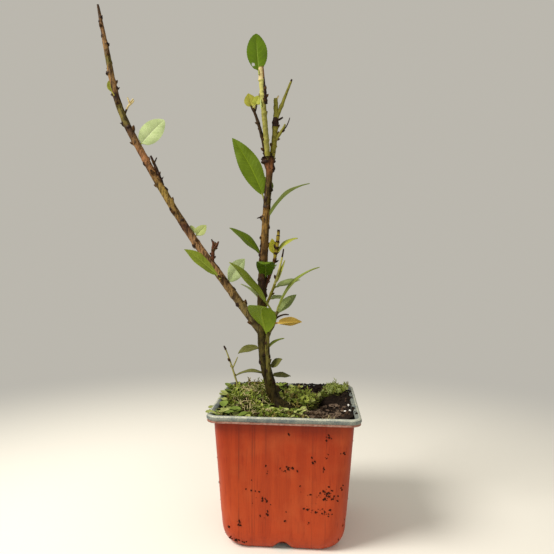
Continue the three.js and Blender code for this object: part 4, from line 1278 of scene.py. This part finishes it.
def add_small_leaf(heap, root, leaf, look):
    """A plain little leaf: a closed blade, folded along its middle, on a thin stalk."""
    path = arc_path(root, leaf)
    stalk = leaf["petiole"] / leaf["length"]
    share, across = np.linspace(0, 1, 9), np.linspace(-1, 1, 7)
    middle, side, face = (lines[:, None] for lines in leaf_lines(path, leaf, stalk + (1 - stalk) * share))
    half = np.maximum(blade_outline(share, leaf) * leaf["width"] / 2, 0.1)[:, None]
    lift = -SMALL_BLADE["fold"] * half * (1 - np.abs(across)) ** 1.2
    top = middle + side * (across * half)[..., None] + face * lift[..., None]
    thick = SMALL_BLADE["thick"] - SMALL_BLADE["thinner_edge"] * np.abs(across) ** 3
    under = top - face * thick[None, :, None]
    heap.add(*lofted(np.concatenate([top, under[:, ::-1]], axis=1)), looks=look)
    heap.add_tube(path.at(np.linspace(0, stalk * 1.1, 5)), np.full(5, SMALL_BLADE["stalk"]), 6, 2)


# Dirt on the pot's front: the middle and reach of each patch, and how many specks it has
DIRT_PATCHES = [
    (2.2, 40.4, 3.5, 1.4, 9), (0.6, 38.6, 0.9, 0.7, 4), (2.6, 56.6, 0.8, 0.6, 3), (14.2, 44.6, 1.4, 2.2, 8),
    (18.8, 39.4, 0.8, 2.2, 6), (20.9, 55.6, 1.8, 2, 9), (20.4, 47, 0.8, 4, 6), (27.5, 48.4, 1.3, 2.2, 4),
    (21.2, 28.2, 3.6, 2.6, 40), (19.2, 20.2, 4.2, 2.2, 26), (12.3, 27.9, 0.7, 0.8, 3),
    (12.6, 20.5, 1.6, 1.4, 6), (12, 14.2, 0.7, 0.8, 3), (27.5, 31.8, 0.9, 2.2, 6), (-7.9, 25, 1.8, 0.9, 6),
    (-6.9, 18, 0.7, 1.6, 6), (-10.9, 28.7, 0.5, 0.5, 2), (-8.1, 41.3, 0.5, 0.5, 2),
    (-20, 13.5, 1.2, 2.6, 10), (-25.4, 10.3, 0.7, 0.8, 4), (-21.4, 3.8, 3.6, 1.8, 18), (0, 30, 24, 20, 24),
]
DIRT = {"least": 0.2, "most": 0.85, "other_sides": 90}


def make_dirt(materials):
    """Specks of wet compost that stuck to the pot's wall when it was filled."""
    heap, chance = Heap(), random.Random(SEEDS["dirt"])
    spots = []
    for middle, height, reach, rise, count in DIRT_PATCHES:
        for _ in range(count):
            spots.append((0, middle + chance.gauss(0, reach / 2), height + chance.gauss(0, rise / 2)))
    for side in (1, 2, 3):
        for _ in range(DIRT["other_sides"]):
            spots.append((side, chance.uniform(-27, 27), 3 + 50 * chance.random() ** 1.3))
    for side, along, height in spots:
        if not 0.8 < height < WALL_TOP - 4:
            continue
        corner = pot_corner(height)
        beyond = max(0, abs(along) - pot_half(height) + corner)
        inward = corner - math.sqrt(max(corner**2 - beyond**2, 2))
        size = DIRT["least"] + (DIRT["most"] - DIRT["least"]) * chance.random() ** 2
        spin = rotation(side * math.pi / 2, "Z")
        place = spin @ np.array([along, inward - pot_half(height) - 0.03, height])
        stand = rotation(math.pi / 2, "X") @ rotation(chance.uniform(0, 6.28), "Z")
        add_crumb(heap, place, size, 0.3, 0, chance, spin @ stand)
    make_piece("pot_dirt", heap, materials, crease=25)


# Materials


def hex_colour(text):
    """An sRGB hex colour as linear red, green and blue, with full alpha."""
    values = [int(text[i:i + 2], 16) / 255 for i in (0, 2, 4)]
    return (*[v / 12.92 if v <= 0.04045 else ((v + 0.055) / 1.055) ** 2.4 for v in values], 1)


def feed(tree, node, inputs):
    """A node's inputs, each given as a value or as the socket that feeds it."""
    for name, value in dict(inputs).items():
        if isinstance(value, bpy.types.NodeSocket):
            tree.links.new(value, node.inputs[name])
        else:
            node.inputs[name].default_value = value


def add(tree, kind, inputs=(), ramp=(), **settings):
    """The outputs of a new shader node with its settings, its inputs and its colour ramp."""
    node = tree.nodes.new("ShaderNode" + kind)
    for name, value in settings.items():
        setattr(node, name, value)
    feed(tree, node, inputs)
    for number, (position, colour) in enumerate(ramp):
        if number >= len(node.color_ramp.elements):
            node.color_ramp.elements.new(1)
        node.color_ramp.elements[number].position = position
        node.color_ramp.elements[number].color = hex_colour(colour)
    return node.outputs


def per(size):
    """A pattern's scale, from the size of its grain in millimetres."""
    return 1 / (size * MM)


def new_material(name, roughness, ior=1.5, specular=0.12):
    """A material with one skin shader, its tree, and the places on the object that its pattern goes by."""
    material = bpy.data.materials.new(name)
    material.use_nodes = True
    tree = material.node_tree
    skin = tree.nodes["Principled BSDF"]
    feed(tree, skin, {"Roughness": roughness, "IOR": ior, "Specular IOR Level": specular})
    return material, tree, skin, add(tree, "TexCoord")["Object"]


def dress(tree, skin, colour, height, strength, depth, **more):
    """A skin's colour, and the relief of its pattern to a depth in millimetres."""
    relief = add(tree, "Bump", {"Strength": strength, "Distance": depth * MM, "Height": height})[0]
    feed(tree, skin, {"Base Color": colour, "Normal": relief, **more})


# How one colour is laid over another: by a share, or multiplied so that it darkens
OVER = {"data_type": "RGBA"}
DARKEN = {"data_type": "RGBA", "blend_type": "MULTIPLY"}
POLYPROPYLENE_IOR = 1.49
CUTICLE_IOR = 1.45

# Colours up the wall, from the foot to under the rim: the darker top is painted shade for the rim's shadow
WALL_COLOURS_WITH_RIM_SHADE = [(0, "ad401a"), (0.45, "a93f14"), (0.85, "a2370e"), (1, "8c2707")]
# Upright lines of the drawn sheet, fine and broad: width, length, detail and tint from line to line
DRAWN_LINES = [
    (0.7, 55, 3, [(0.28, "e6dad2"), (0.46, "ffffff"), (0.75, "f6f0ec")]),
    (3.5, 120, 2, [(0.4, "efe6df"), (0.56, "ffffff")]),
]
# Dark runs where muddy water dried: across, half width and depth
STREAKS = [
    (-20.5, 0.4, 0.58), (-14.3, 0.3, 0.62), (-13.1, 0.3, 0.48), (-7.9, 0.25, 0.52), (13.7, 0.25, 0.42),
    (19.9, 0.25, 0.42),
]


def drawn_lines(tree, place, colour):
    """The sheet's colour under its fine and broad upright lines, and the relief of the fine ones."""
    drawn = []
    for width, length, detail, ramp in DRAWN_LINES:
        stretch = (per(width), per(width), per(length))
        stretched = add(tree, "VectorMath", {0: place, 1: stretch}, operation="MULTIPLY")[0]
        drawn.append(add(tree, "TexNoise", {"Vector": stretched, "Scale": 1, "Detail": detail})["Fac"])
        tint = add(tree, "ValToRGB", {0: drawn[-1]}, ramp=ramp)[0]
        colour = add(tree, "Mix", {0: 1.0, 6: colour, 7: tint}, **DARKEN)[2]
    return colour, drawn[0]


def dried_runs(tree, across, ragged, colour):
    """The sheet's colour under the runs of dried mud, ragged by a share."""
    for middle, width, depth in STREAKS:
        gap = add(tree, "Math", {0: across, 1: middle * MM}, operation="SUBTRACT")[0]
        gap = add(tree, "Math", {0: gap}, operation="ABSOLUTE")[0]
        fade = {0: gap, 1: 0.0, 2: width * MM, 3: depth, 4: 0.0}
        near = add(tree, "MapRange", fade, interpolation_type="SMOOTHSTEP")[0]
        near = add(tree, "Math", {0: near, 1: ragged}, operation="ADD", use_clamp=True)[0]
        near = add(tree, "Math", {0: near, 1: depth}, operation="MULTIPLY")[0]
        inside = add(tree, "Math", {0: gap, 1: width * MM}, operation="LESS_THAN")[0]
        near = add(tree, "Math", {0: near, 1: inside}, operation="MULTIPLY")[0]
        colour = add(tree, "Mix", {0: near, 6: colour, 7: hex_colour("4a1c10")}, **OVER)[2]
    return colour


def terracotta_sheet():
    """Thermoformed polypropylene: satin, with fine vertical lines from being drawn into its mould."""
    material, tree, skin, place = new_material("terracotta_sheet", 0.46, POLYPROPYLENE_IOR, 0.22)
    apart = add(tree, "SeparateXYZ", {0: place})
    height = add(tree, "MapRange", {0: apart["Z"], 1: 0.0, 2: WALL_TOP * MM})[0]
    # Painted shade: the wall darkens up towards the rim, for the rim's shadow
    colour = add(tree, "ValToRGB", {0: height}, ramp=WALL_COLOURS_WITH_RIM_SHADE)[0]
    colour, lines = drawn_lines(tree, place, colour)
    clouds = add(tree, "TexNoise", {"Vector": place, "Scale": per(13), "Detail": 4})["Fac"]
    dusty = add(tree, "MapRange", {0: clouds, 1: 0.5, 2: 0.8, 4: 0.22})[0]
    colour = add(tree, "Mix", {0: dusty, 6: colour, 7: hex_colour("c46a3c")}, **OVER)[2]
    ragged = add(tree, "MapRange", {0: clouds, 1: 0.35, 2: 0.6, 3: -0.3, 4: 0.3})[0]
    colour = dried_runs(tree, apart["X"], ragged, colour)
    gloss = add(tree, "MapRange", {0: clouds, 1: 0.3, 2: 0.7, 3: 0.36, 4: 0.52})[0]
    dress(tree, skin, colour, lines, 0.25, 0.12, Roughness=gloss)
    return material


def grey_sheet(name, base, dust):
    """The sheet's other face, blue-grey polypropylene, with dried dust lying in its fine grain."""
    material, tree, skin, place = new_material(name, 0.5, POLYPROPYLENE_IOR, 0.3)
    clouds = add(tree, "TexNoise", {"Vector": place, "Scale": per(5), "Detail": 5})["Fac"]
    grain = add(tree, "TexNoise", {"Vector": place, "Scale": per(0.5), "Detail": 2})["Fac"]
    worn = add(tree, "Math", {0: clouds, 1: grain}, operation="MULTIPLY")[0]
    colour = add(tree, "ValToRGB", {0: worn}, ramp=[(0.16, base), (0.34, dust)])[0]
    dress(tree, skin, colour, grain, 0.3, 0.06)
    return material


# Stuffs with a grain: the colours of their hollows and heights, their grain, roughness and relief
STUFFS = {
    # Polypropylene sheet where a die cut it through: rough, and paler than its pressed faces
    "trimmed_edge": ([(0.3, "b08a7c"), (0.7, "845444")], 1.5, 0.6, 0.05),
    # Sphagnum peat, dug, milled and kept wet: soft fibres that drink the light, nearly black
    "moist_peat": ([(0.3, "120d0a"), (0.6, "271d16")], 1.2),
    # The same peat where its top has dried: a warmer and duller brown
    "dry_peat": ([(0.3, "33251c"), (0.7, "5c4838")], 0.9),
    # Conifer bark, shredded and composted: split flakes, grey-brown and matte
    "bark_chip": ([(0.3, "42342c"), (0.7, "7c6a58")], 1.1),
    # Perlite, volcanic glass puffed up by heat: white, and matte from its open bubbles
    "perlite": ([(0.3, "d8d4c8"), (0.6, "f2efe8")], 0.4),
    # Peat that splashed on the wall and dried there: a thin dark crust
    "dried_peat": ([(0.3, "220f08"), (0.7, "421a0e")], 0.6),
    # Grass stalks, dead and bleached outdoors: straw, with a slight sheen
    "dry_stalk": ([(0.3, "9c8e62"), (0.7, "c6ba8c")], 0.8, 0.7, 0.05),
    # Fine roots, washed bare by watering: dark brown threads
    "root_hair": ([(0.3, "2a1d14"), (0.7, "54402c")], 0.8, 0.7, 0.05),
    # Old shoots of moss, grown into a pad: brown hollows under green heights
    "moss_bed": ([(0.32, "1c1c0c"), (0.5, "3c3e18"), (0.7, "66642c")], 1.0, 0.9, 0.5),
}


def crumbly(name, ramp, size, roughness=0.95, depth=0.25):
    """A stuff that is mottled at the size of its grains, and matte where no roughness is given."""
    material, tree, skin, place = new_material(name, roughness)
    grain = add(tree, "TexNoise", {"Vector": place, "Scale": per(size), "Detail": 6})["Fac"]
    dress(tree, skin, add(tree, "ValToRGB", {0: grain}, ramp=ramp)[0], grain, 0.6, depth)
    return material


# Moss and seedlings: colour, shade and roughness
MOSS_SKINS = {
    "moss_green": ("76842c", "55621c", 0.6),
    "moss_pale": ("a2ac50", "86923c", 0.6),
    "moss_brown": ("9a8a50", "6e6234", 0.7),
    "moss_feathery": ("ccd68a", "acbc68", 0.7),
}
SEEDLING_SKINS = {
    "seedling_leaf": ("74863a", "566826", 0.5),
    "seedling_leaf_pale": ("a8b068", "8a924e", 0.5),
    "seedling_stalk": ("a29c5e", "8a8450", 0.6),
}
MOSS_NET, SEEDLING_NET = 0.3, 0.4


def living_skin(name, base, shade, roughness, cell=0.55):
    """Living leaf, grown under a thin waxy cuticle: a soft shine on two close greens and fine veins."""
    material, tree, skin, place = new_material(name, roughness, CUTICLE_IOR)
    clouds = add(tree, "TexNoise", {"Vector": place, "Scale": per(4), "Detail": 4})["Fac"]
    # The real net is about 0.25 mm from vein to vein, and is drawn coarser so that it shows
    net = add(tree, "TexVoronoi", {"Vector": place, "Scale": per(cell)}, feature="DISTANCE_TO_EDGE")[0]
    colour = add(tree, "ValToRGB", {0: clouds}, ramp=[(0.32, shade), (0.68, base)])[0]
    line = add(tree, "MapRange", {0: net, 1: 0.0, 2: 0.12, 3: 0.05, 4: 0.0})[0]
    colour = add(tree, "Mix", {0: line, 6: colour, 7: hex_colour("c4cc70")}, **OVER)[2]
    gloss = add(tree, "MapRange", {0: clouds, 1: 0.3, 2: 0.7, 3: roughness - 0.06, 4: roughness + 0.08})[0]
    dress(tree, skin, colour, net, 0.14, 0.08, Roughness=gloss)
    return material


# Leaves by tone: upper side and its shade, midrib, side veins, underside and its shade, stalk, and roughness
TONES = {
    "deep": ("54680a", "485a08", "667a18", "566b0c", "7c8a42", "6c7a38", "80843a", 0.38),
    "bright": ("546e0a", "4a6208", "6a801c", "58720c", "88964e", "788644", "8c9044", 0.4),
    "olive": ("7d8c2c", "6e7c24", "8f9a3c", "818f30", "9aa454", "8a944a", "8c8e44", 0.42),
    "cool": ("88965c", "76824c", "a0a870", "8d9a62", "9ca672", "8c9666", "7f8848", 0.42),
    "dull": ("5f6030", "4c4c22", "807e4e", "666636", "62623a", "52522e", "5c5830", 0.45),
    "dusky": ("50690c", "3e5806", "5c7218", "4e680c", "4a6408", "3a5204", "5a6420", 0.42),
    "fresh": ("748a1e", "647a18", "8a9c34", "788e22", "748a22", "667c1a", "8c9444", 0.42),
    "silvery": ("c8d89e", "b6c88c", "d4dfb0", "cbdaa2", "c2d29c", "b2c48e", "aab068", 0.5),
    "sage": ("a4ae6e", "949e5e", "b4bc80", "a9b374", "a2ac70", "92a062", "9ca05a", 0.5),
    "young": ("9c9a3c", "8a8830", "b0ac50", "a09e42", "a2a04a", "92903e", "8c7e34", 0.45),
    "yellow": ("bcb83c", "acaa34", "cac45c", "bfbb42", "beb84c", "aeaa42", "a09c40", 0.45),
    "lime": ("9a9e3c", "898d32", "aeb254", "a0a442", "a6a458", "96944a", "948e3e", 0.45),
    "aged": ("b6983a", "a4842c", "c8ac54", "b99b40", "be9f4c", "ac8c3c", "9a6c28", 0.45),
}


def leaf_skins(tone):
    """Holly leaf: a waxy satin upper side with paler veins, and a paler matte underside."""
    top, top_shade, midrib, side_vein, under, under_shade, stalk, roughness = TONES[tone]
    parts = {
        "upper": (top, top_shade, roughness),
        "midrib": (midrib, midrib, roughness),
        "side_vein": (side_vein, side_vein, roughness),
        "under": (under, under_shade, 0.6),
        "stalk": (stalk, stalk, 0.5),
    }
    return [living_skin(f"leaf_{tone}_{part}", *looks) for part, looks in parts.items()]


def limb_bark(name, bands, dark):
    """Young holly bark: thin, satin to matte, flecked with pores and stained dark in patches.

    Bands are the colours by height in millimetres, because an older length of a limb is browner.
    """
    material, tree, skin, place = new_material(name, 0.62)
    apart = add(tree, "SeparateXYZ", {0: place})
    low, high = bands[0][0], bands[-1][0]
    height = add(tree, "MapRange", {0: apart["Z"], 1: low * MM, 2: high * MM})[0]
    ramp = [((level - low) / (high - low), colour) for level, colour in bands]
    colour = add(tree, "ValToRGB", {0: height}, ramp=ramp)[0]
    # Stains and pores are a little longer than wide
    along = add(tree, "VectorMath", {0: place, 1: (1, 1, 0.45)}, operation="MULTIPLY")[0]
    stains = add(tree, "TexNoise", {"Vector": along, "Scale": per(3.2), "Detail": 5})["Fac"]
    pores = add(tree, "TexNoise", {"Vector": along, "Scale": per(0.8), "Detail": 3})["Fac"]
    stained = add(tree, "MapRange", {0: stains, 1: 0.5, 2: 0.62, 4: 0.8})[0]
    colour = add(tree, "Mix", {0: stained, 6: colour, 7: hex_colour(dark)}, **OVER)[2]
    # The fissures run up the limb, about 0.8 mm apart
    upward = add(tree, "VectorMath", {0: place, 1: (1, 1, 0.13)}, operation="MULTIPLY")[0]
    fissures = add(tree, "TexNoise", {"Vector": upward, "Scale": per(0.8), "Detail": 2})["Fac"]
    for pattern, share, ramp in (
        (fissures, 0.8, [(0.36, "6e6054"), (0.5, "ffffff")]),
        (pores, 0.85, [(0.3, "5c5048"), (0.48, "ffffff"), (0.72, "fff2d8")]),
    ):
        tint = add(tree, "ValToRGB", {0: pattern}, ramp=ramp)[0]
        colour = add(tree, "Mix", {0: share, 6: colour, 7: tint}, **DARKEN)[2]
    dress(tree, skin, colour, pores, 0.7, 0.3)
    return material


# The woods of the twigs: bark and its flecks
WOODS = {
    "brown": ("6b4a24", "3a2612"),
    "russet": ("54301a", "26130b"),
    "dark": ("34240f", "181008"),
    "dead": ("2c1a0f", "120b07"),
    "green": ("7e7a2e", "5e5a1e"),
    "olive": ("767028", "56501a"),
    "pale": ("88843f", "726d34"),
    "cream": ("aca85e", "8e8a4a"),
    "tan": ("c2b17c", "a08c5c"),
    "ochre": ("8c7c26", "5a4a14"),
    "straw": ("8f8a4c", "665f34"),
    "bud": ("4a3216", "1e130a"),
}


def twig_bark(wood):
    """The smooth bark of a young twig: a thin satin skin with small pores."""
    base, fleck = WOODS[wood]
    material, tree, skin, place = new_material(f"twig_{wood}", 0.52)
    patches = add(tree, "TexNoise", {"Vector": place, "Scale": per(1.6), "Detail": 5})["Fac"]
    colour = add(tree, "ValToRGB", {0: patches}, ramp=[(0.34, fleck), (0.5, base)])[0]
    dress(tree, skin, colour, patches, 0.5, 0.15)
    return material


# The plant put together


def limb_path(name):
    """A limb's own line, through the places of its stations."""
    return Path([station[:3] for station in LIMBS[name]["stations"]])


def limb_radius(name, path):
    """How thick a limb is at shares of its length, from its stations."""
    radii = [station[3] for station in LIMBS[name]["stations"]]
    return lambda shares: read_off(radii, path.time_of(shares))


# Knots, scars and stubs at their real heights: height, the way they face, size and length. The trunk's two
# long flat ones facing 208 degrees, at 170.5 and 142 mm, are painted shade: dark scar bark down its left side
KNOTS = {
    "trunk": [
        (158.3, 180, 0.75, 1.1), (147.7, 176, 0.7, 1), (182.2, 0, 0.8, 1.2), (186.6, 10, 1, 0.9),
        (167.4, 235, 0.45, 1.6), (186.6, 190, 0.9, 1.3), (188.3, 100, 0.9, 1.2), (188.6, 232, 0.9, 1),
        (183.6, 348, 0.7, 1.5), (188.2, 200, 0.7, 0.9), (172.5, 10, 0.6, 1), (153.2, 350, 0.5, 1.1),
        (124.6, 285, 0.2, 1.8), (121.6, 252, 0.25, 1.4), (119, 292, 0.2, 1.6), (126.6, 255, 0.3, 1),
        # (170.5, 208) and (142, 208) lay dark scar bark as painted shade on the trunk's left side
        (186.3, 222, 0.9, 1.1), (189.2, 300, 0.7, 0.7), (170.5, 208, 0.1, 6.5), (163.6, 225, 0.2, 0.7),
        (163.4, 275, 0.2, 0.6), (163.8, 325, 0.2, 0.7), (142, 208, 0.12, 4.5), (139, 180, 0.6, 1.2),
        (131, 0, 0.6, 1.2), (126, 190, 0.5, 1), (118, 350, 0.5, 1), (94, 10, 0.5, 1.2), (84, 200, 0.6, 1.3),
        (73, 330, 0.6, 1.5), (163, 60, 0.5, 1.2), (143, 100, 0.6, 1.2), (106, 90, 0.5, 1.1),
    ],
    "left_bough": [
        (263.6, 350, 0.5, 0.9), (261.8, 180, 0.5, 0.9), (249.4, 0, 0.75, 1.1), (234.7, 180, 0.9, 1.3),
        (226.3, 0, 0.7, 1.0), (223.7, 180, 0.6, 1.0), (208.2, 180, 0.8, 1.3), (205.5, 300, 0.5, 0.9),
        (205.5, 90, 0.5, 0.9), (178, 10, 0.9, 1.2), (172.1, 10, 0.7, 1.6), (156.1, 300, 0.4, 0.8),
        (156.1, 120, 0.4, 0.8), (144.3, 190, 0.8, 1.6), (113.9, 215, 0.7, 1.2), (187, 200, 0.5, 1.2),
        (163, 210, 0.5, 1.3), (120, 30, 0.5, 1.2), (240, 60, 0.5, 1.0), (254, 210, 0.4, 1.0),
    ],
    "second_stem": [(80, 200, 0.3, 0.9), (87, 340, 0.35, 0.9), (94, 190, 0.35, 0.9)],
}
# Each limb's bark: its piece and finish, sides and seed, then the size of its ridges and pimples
BARKS = {
    "trunk": dict(
        piece="stem_bark", finish="stem_bark", stain="1c1309", sides=48, seed=201,
        stretch=0.35, ridge=1.5, ridge_depth=0.07, pimple=0.7, pimple_depth=0.06, shift=2.0,
    ),
    "left_bough": dict(
        piece="bough_bark", finish="bough_bark", stain="2a190e", sides=40, seed=202,
        stretch=0.3, ridge=1.2, ridge_depth=0.07, pimple=0.6, pimple_depth=0.06, shift=12.0,
    ),
    "second_stem": dict(
        piece="second_stem_bark", finish="thin_stem_bark", stain="262009", sides=28, seed=203,
        stretch=0.35, ridge=0.8, ridge_depth=0.06, pimple=0.5, pimple_depth=0.04, shift=22.0,
    ),
}
# The root flare's ribs, faded out over a reach below a height
FLARE = {"lobes": 5, "depth": 0.2, "until": 67, "reach": 10, "phase": 0.6}
# Colours of each limb's bark by height
BANDS = {
    "trunk": [
        (54, "352a10"), (70, "362e12"), (95, "4a4319"), (116, "443412"), (121, "30230f"), (127, "3c2b11"),
        (134, "5c4422"), (143, "664b26"), (150, "7c5f2e"), (161, "7a5e2e"), (163.5, "40280f"),
        (166, "5a4a1e"), (176, "584820"), (180, "5c3e20"), (184, "7a5030"), (187.5, "5c3a20"),
        (192, "2c1b10"),
    ],
    "left_bough": [
        (99, "564e2c"), (112, "74643c"), (125, "86683e"), (135, "92704a"), (146, "8e6c48"), (154, "4a2e1e"),
        (159, "84683a"), (172, "8a7438"), (180, "7c5c36"), (190, "966844"), (198, "7a5c38"),
        (205.5, "38251a"), (209, "706632"), (216, "6e642e"), (221, "4e3822"), (227, "7c5e3a"),
        (236, "886a40"), (241, "605c2a"), (247, "8c6c42"), (258, "7e5e3c"), (266, "5c4428"),
        (271, "301f16"),
    ],
    "second_stem": [(70, "4a451e"), (85, "625d2a"), (100, "747032"), (112, "5c5028")],
}
LIMB_RING = 0.24  # from one ring of a limb's mesh to the next


def make_limb(name, bud_bark, scar):
    """One limb with its bark's relief, its knots and the buds that spiral up it."""
    limb, path, bark = LIMBS[name], limb_path(name), BARKS[name]
    radius_at = limb_radius(name, path)
    buds = buds_along(path.length, limb["bud_spacing"], limb["bud_length"], limb["seed"])
    bumps = bud_bumps(path, buds, radius_at) + knot_bumps(path, KNOTS[name])
    points, spread, scarred = limb_surface(path, radius_at, bumps, bark)
    sides = bark["sides"]
    if name == "trunk":
        turns = around(sides)
        low = np.clip((FLARE["until"] - points[:, 2]) / FLARE["reach"], 0, 1) ** 1.5
        spread *= 1 + FLARE["depth"] * low[:, None] * np.cos(FLARE["lobes"] * turns + FLARE["phase"])
    heap, chance = Heap(), random.Random(bark["seed"])
    points, faces = lofted(tube_rings(points, round_tip(spread, [0.8, 0.93, 0.98]), sides))
    heap.add(points, faces, [2 * int(scar) for scar in scarred[:-1].ravel()] + [0] * (2 * sides))
    for bud in buds:
        seat, lean, _ = bud_seat(path, bud, radius_at(bud["at"]))
        add_bud(heap, seat, lean, bud["size"], chance, 1)
    finish = limb_bark(bark["finish"], BANDS[name], bark["stain"])
    make_piece(bark["piece"], heap, [finish, bud_bark, scar], [name], crease=50)


def root_on(path, height, offset=(0, 0)):
    """A place on a limb's own line at a height, moved aside by an offset."""
    return path.at(path.share_at_height(height)) + (*offset, 0)


# A slot name for each tone of leaf; nothing in this script reads it
LEAF_SLOTS = {
    **dict.fromkeys(("deep", "bright", "olive", "cool", "dull", "dusky", "fresh"), "leaf_green"),
    **dict.fromkeys(("silvery", "sage"), "leaf_pale"),
    **dict.fromkeys(("young", "lime", "yellow"), "leaf_young"),
    "aged": "leaf_aged",
}


def make_growth(leaf_materials, twig_materials):
    """Every leaf, leafy twig and spur, each at its own place on its limb, joined by tone and by kind."""
    leaves, twigs = {tone: Heap() for tone in TONES}, Heap()
    leaf_nodes, twig_nodes = {tone: set() for tone in TONES}, []
    paths = {name: limb_path(name) for name in LIMBS}
    for order, (name, spray) in enumerate(SPRAYS.items()):
        seed = FIRST_SPRAY_SEED + order
        spur_seed = seed + SPUR_SEED_STEP
        chance = random.Random(seed)
        if "place" in spray:
            root = np.array(spray["place"], float)
        else:
            root = root_on(paths[spray["limb"]], spray["height"], spray["offset"])
        for part in spray["parts"]:
            foot = root
            if "at" in part:
                foot = paths[name].at(part["at"]) + (*part.get("offset", (0, 0)), 0)
            if part["kind"] == "leaf":
                add_leaf(leaves[part["tone"]], foot, part, chance)
                leaf_nodes[part["tone"]].add(name)
            elif part["kind"] == "spur":
                add_twig(twigs, arc_path(foot, part), part, spur_seed, chance)
                spur_seed += 1
            else:
                paths[name] = arc_path(foot, part)
                add_twig(twigs, paths[name], part, seed, chance)
                twig_nodes.append(name)
    chance = random.Random(STUB_SEED)
    for limb, stubs in STUBS.items():
        for number, (height, *growth) in enumerate(stubs):
            stub = stem("dead", *growth, taper=STUB_TAPER)
            add_twig(twigs, arc_path(root_on(paths[limb], height), stub), stub, STUB_SEED + number, chance)
    for tone, heap in leaves.items():
        nodes = sorted(leaf_nodes[tone])
        make_piece(f"leaves_{tone}", heap, leaf_materials[tone], nodes, crease=35)
    make_piece("twigs", twigs, twig_materials, twig_nodes, crease=50)


# Floor and light
STUDIO = {
    "floor_rings": (900, 300, 90, 20), "floor_at": -0.05, "floor_depth": 12, "fade": (120, 420),
    "floor": "f0ede4", "air": "c6c2b8", "air_strength": 0.88, "lamps_aim_at": (0, 0, 120),
}
LAMPS = {
    "lamp_above": dict(place=(-480, -300, 620), size=340, power=6.8, colour="fffaf2"),
    "lamp_front": dict(place=(250, -750, 350), size=500, power=1.0, colour="fffdfa"),
}


def make_floor():
    """A round pale floor under the pot, in rings that grow outwards."""
    level, reaches = STUDIO["floor_at"], STUDIO["floor_rings"]
    rings = [rounded_square(reach, reach * 0.999, level, 24, 2) for reach in reaches]
    heap = Heap()
    heap.add(*lofted([rings[0] * (1, 1, 0) - (0, 0, STUDIO["floor_depth"]), *rings]))
    mesh = bpy.data.meshes.new("floor")
    mesh.from_pydata((np.vstack(heap.points) * MM).tolist(), [], heap.faces)
    # Uncoated paper, rolled smooth: pale and matte, with no shine back
    material, tree, skin, place = new_material("pale_paper", 0.8)
    feed(tree, skin, {"Base Color": hex_colour(STUDIO["floor"])})
    # The paper sweeps up into the even air behind it, so its far part takes the air's own tone
    away = add(tree, "VectorMath", {0: place}, operation="LENGTH")["Value"]
    near, far = (reach * MM for reach in STUDIO["fade"])
    faded = add(tree, "MapRange", {0: away, 1: near, 2: far}, interpolation_type="SMOOTHSTEP")[0]
    air = add(tree, "Emission", {"Color": hex_colour(STUDIO["air"]), "Strength": STUDIO["air_strength"]})[0]
    mixed = add(tree, "MixShader", {0: faded, 1: skin.outputs[0], 2: air})[0]
    feed(tree, tree.nodes["Material Output"], {"Surface": mixed})
    mesh.materials.append(material)
    floor = bpy.data.objects.new("floor", mesh)
    bpy.context.scene.collection.objects.link(floor)


def make_light():
    """Even daylight from all round, with one large soft lamp above and one in front."""
    world = bpy.data.worlds.new("studio_air")
    world.use_nodes = True
    air = world.node_tree.nodes["Background"]
    air.inputs["Color"].default_value = hex_colour(STUDIO["air"])
    air.inputs["Strength"].default_value = STUDIO["air_strength"]
    bpy.context.scene.world = world
    for name, lamp in LAMPS.items():
        light = bpy.data.lights.new(name, "AREA")
        light.shape = "DISK"
        light.size = lamp["size"] * MM
        light.energy = lamp["power"]
        light.color = hex_colour(lamp["colour"])[:3]
        holder = bpy.data.objects.new(name, light)
        place = Vector(lamp["place"]) * MM
        holder.location = place
        aim = Vector(STUDIO["lamps_aim_at"]) * MM - place
        holder.rotation_euler = aim.to_track_quat("-Z", "Y").to_euler()
        bpy.context.scene.collection.objects.link(holder)
    bpy.context.scene.view_settings.view_transform = "Standard"


def make_everything():
    """Every piece of the pot and the plant, from the ground up."""
    terracotta = terracotta_sheet()
    stuffs = {name: crumbly(name, *looks) for name, looks in STUFFS.items()}
    trimmed, peat = stuffs["trimmed_edge"], stuffs["moist_peat"]
    # The pot's inner face takes a dark grey: painted shade for the inside of the pot
    make_pot([terracotta, grey_sheet("grey_sheet_shaded", "2c3236", "43484a"), trimmed])
    # A pale grey for the painted highlight on the top of the bead
    painted_highlight_sheet = grey_sheet("grey_sheet_painted_highlight", "8c928a", "c0c0ac")
    # A near-black grey for the painted shade down the rim's inner roll
    peaty = grey_sheet("grey_sheet_peaty", "1e2122", "33322e")
    make_rim([terracotta, grey_sheet("grey_sheet_dusty", "525c5e", "85887c"), trimmed, painted_highlight_sheet, peaty])
    make_compost([peat])
    make_crumbs([peat, stuffs["dry_peat"], stuffs["bark_chip"], stuffs["perlite"]])
    make_dirt([stuffs["dried_peat"]])
    make_thatch([stuffs["dry_stalk"], stuffs["root_hair"]])
    make_cushions([stuffs["moss_bed"], peat])
    make_sprigs([living_skin(name, *looks, MOSS_NET) for name, looks in MOSS_SKINS.items()])
    make_rosettes([living_skin(name, *looks, SEEDLING_NET) for name, looks in SEEDLING_SKINS.items()])
    barks = {wood: twig_bark(wood) for wood in WOODS}
    for name in LIMBS:
        make_limb(name, barks["bud"], barks["dead"])
    make_growth({tone: leaf_skins(tone) for tone in TONES}, list(barks.values()))


make_everything()
make_floor()
make_light()
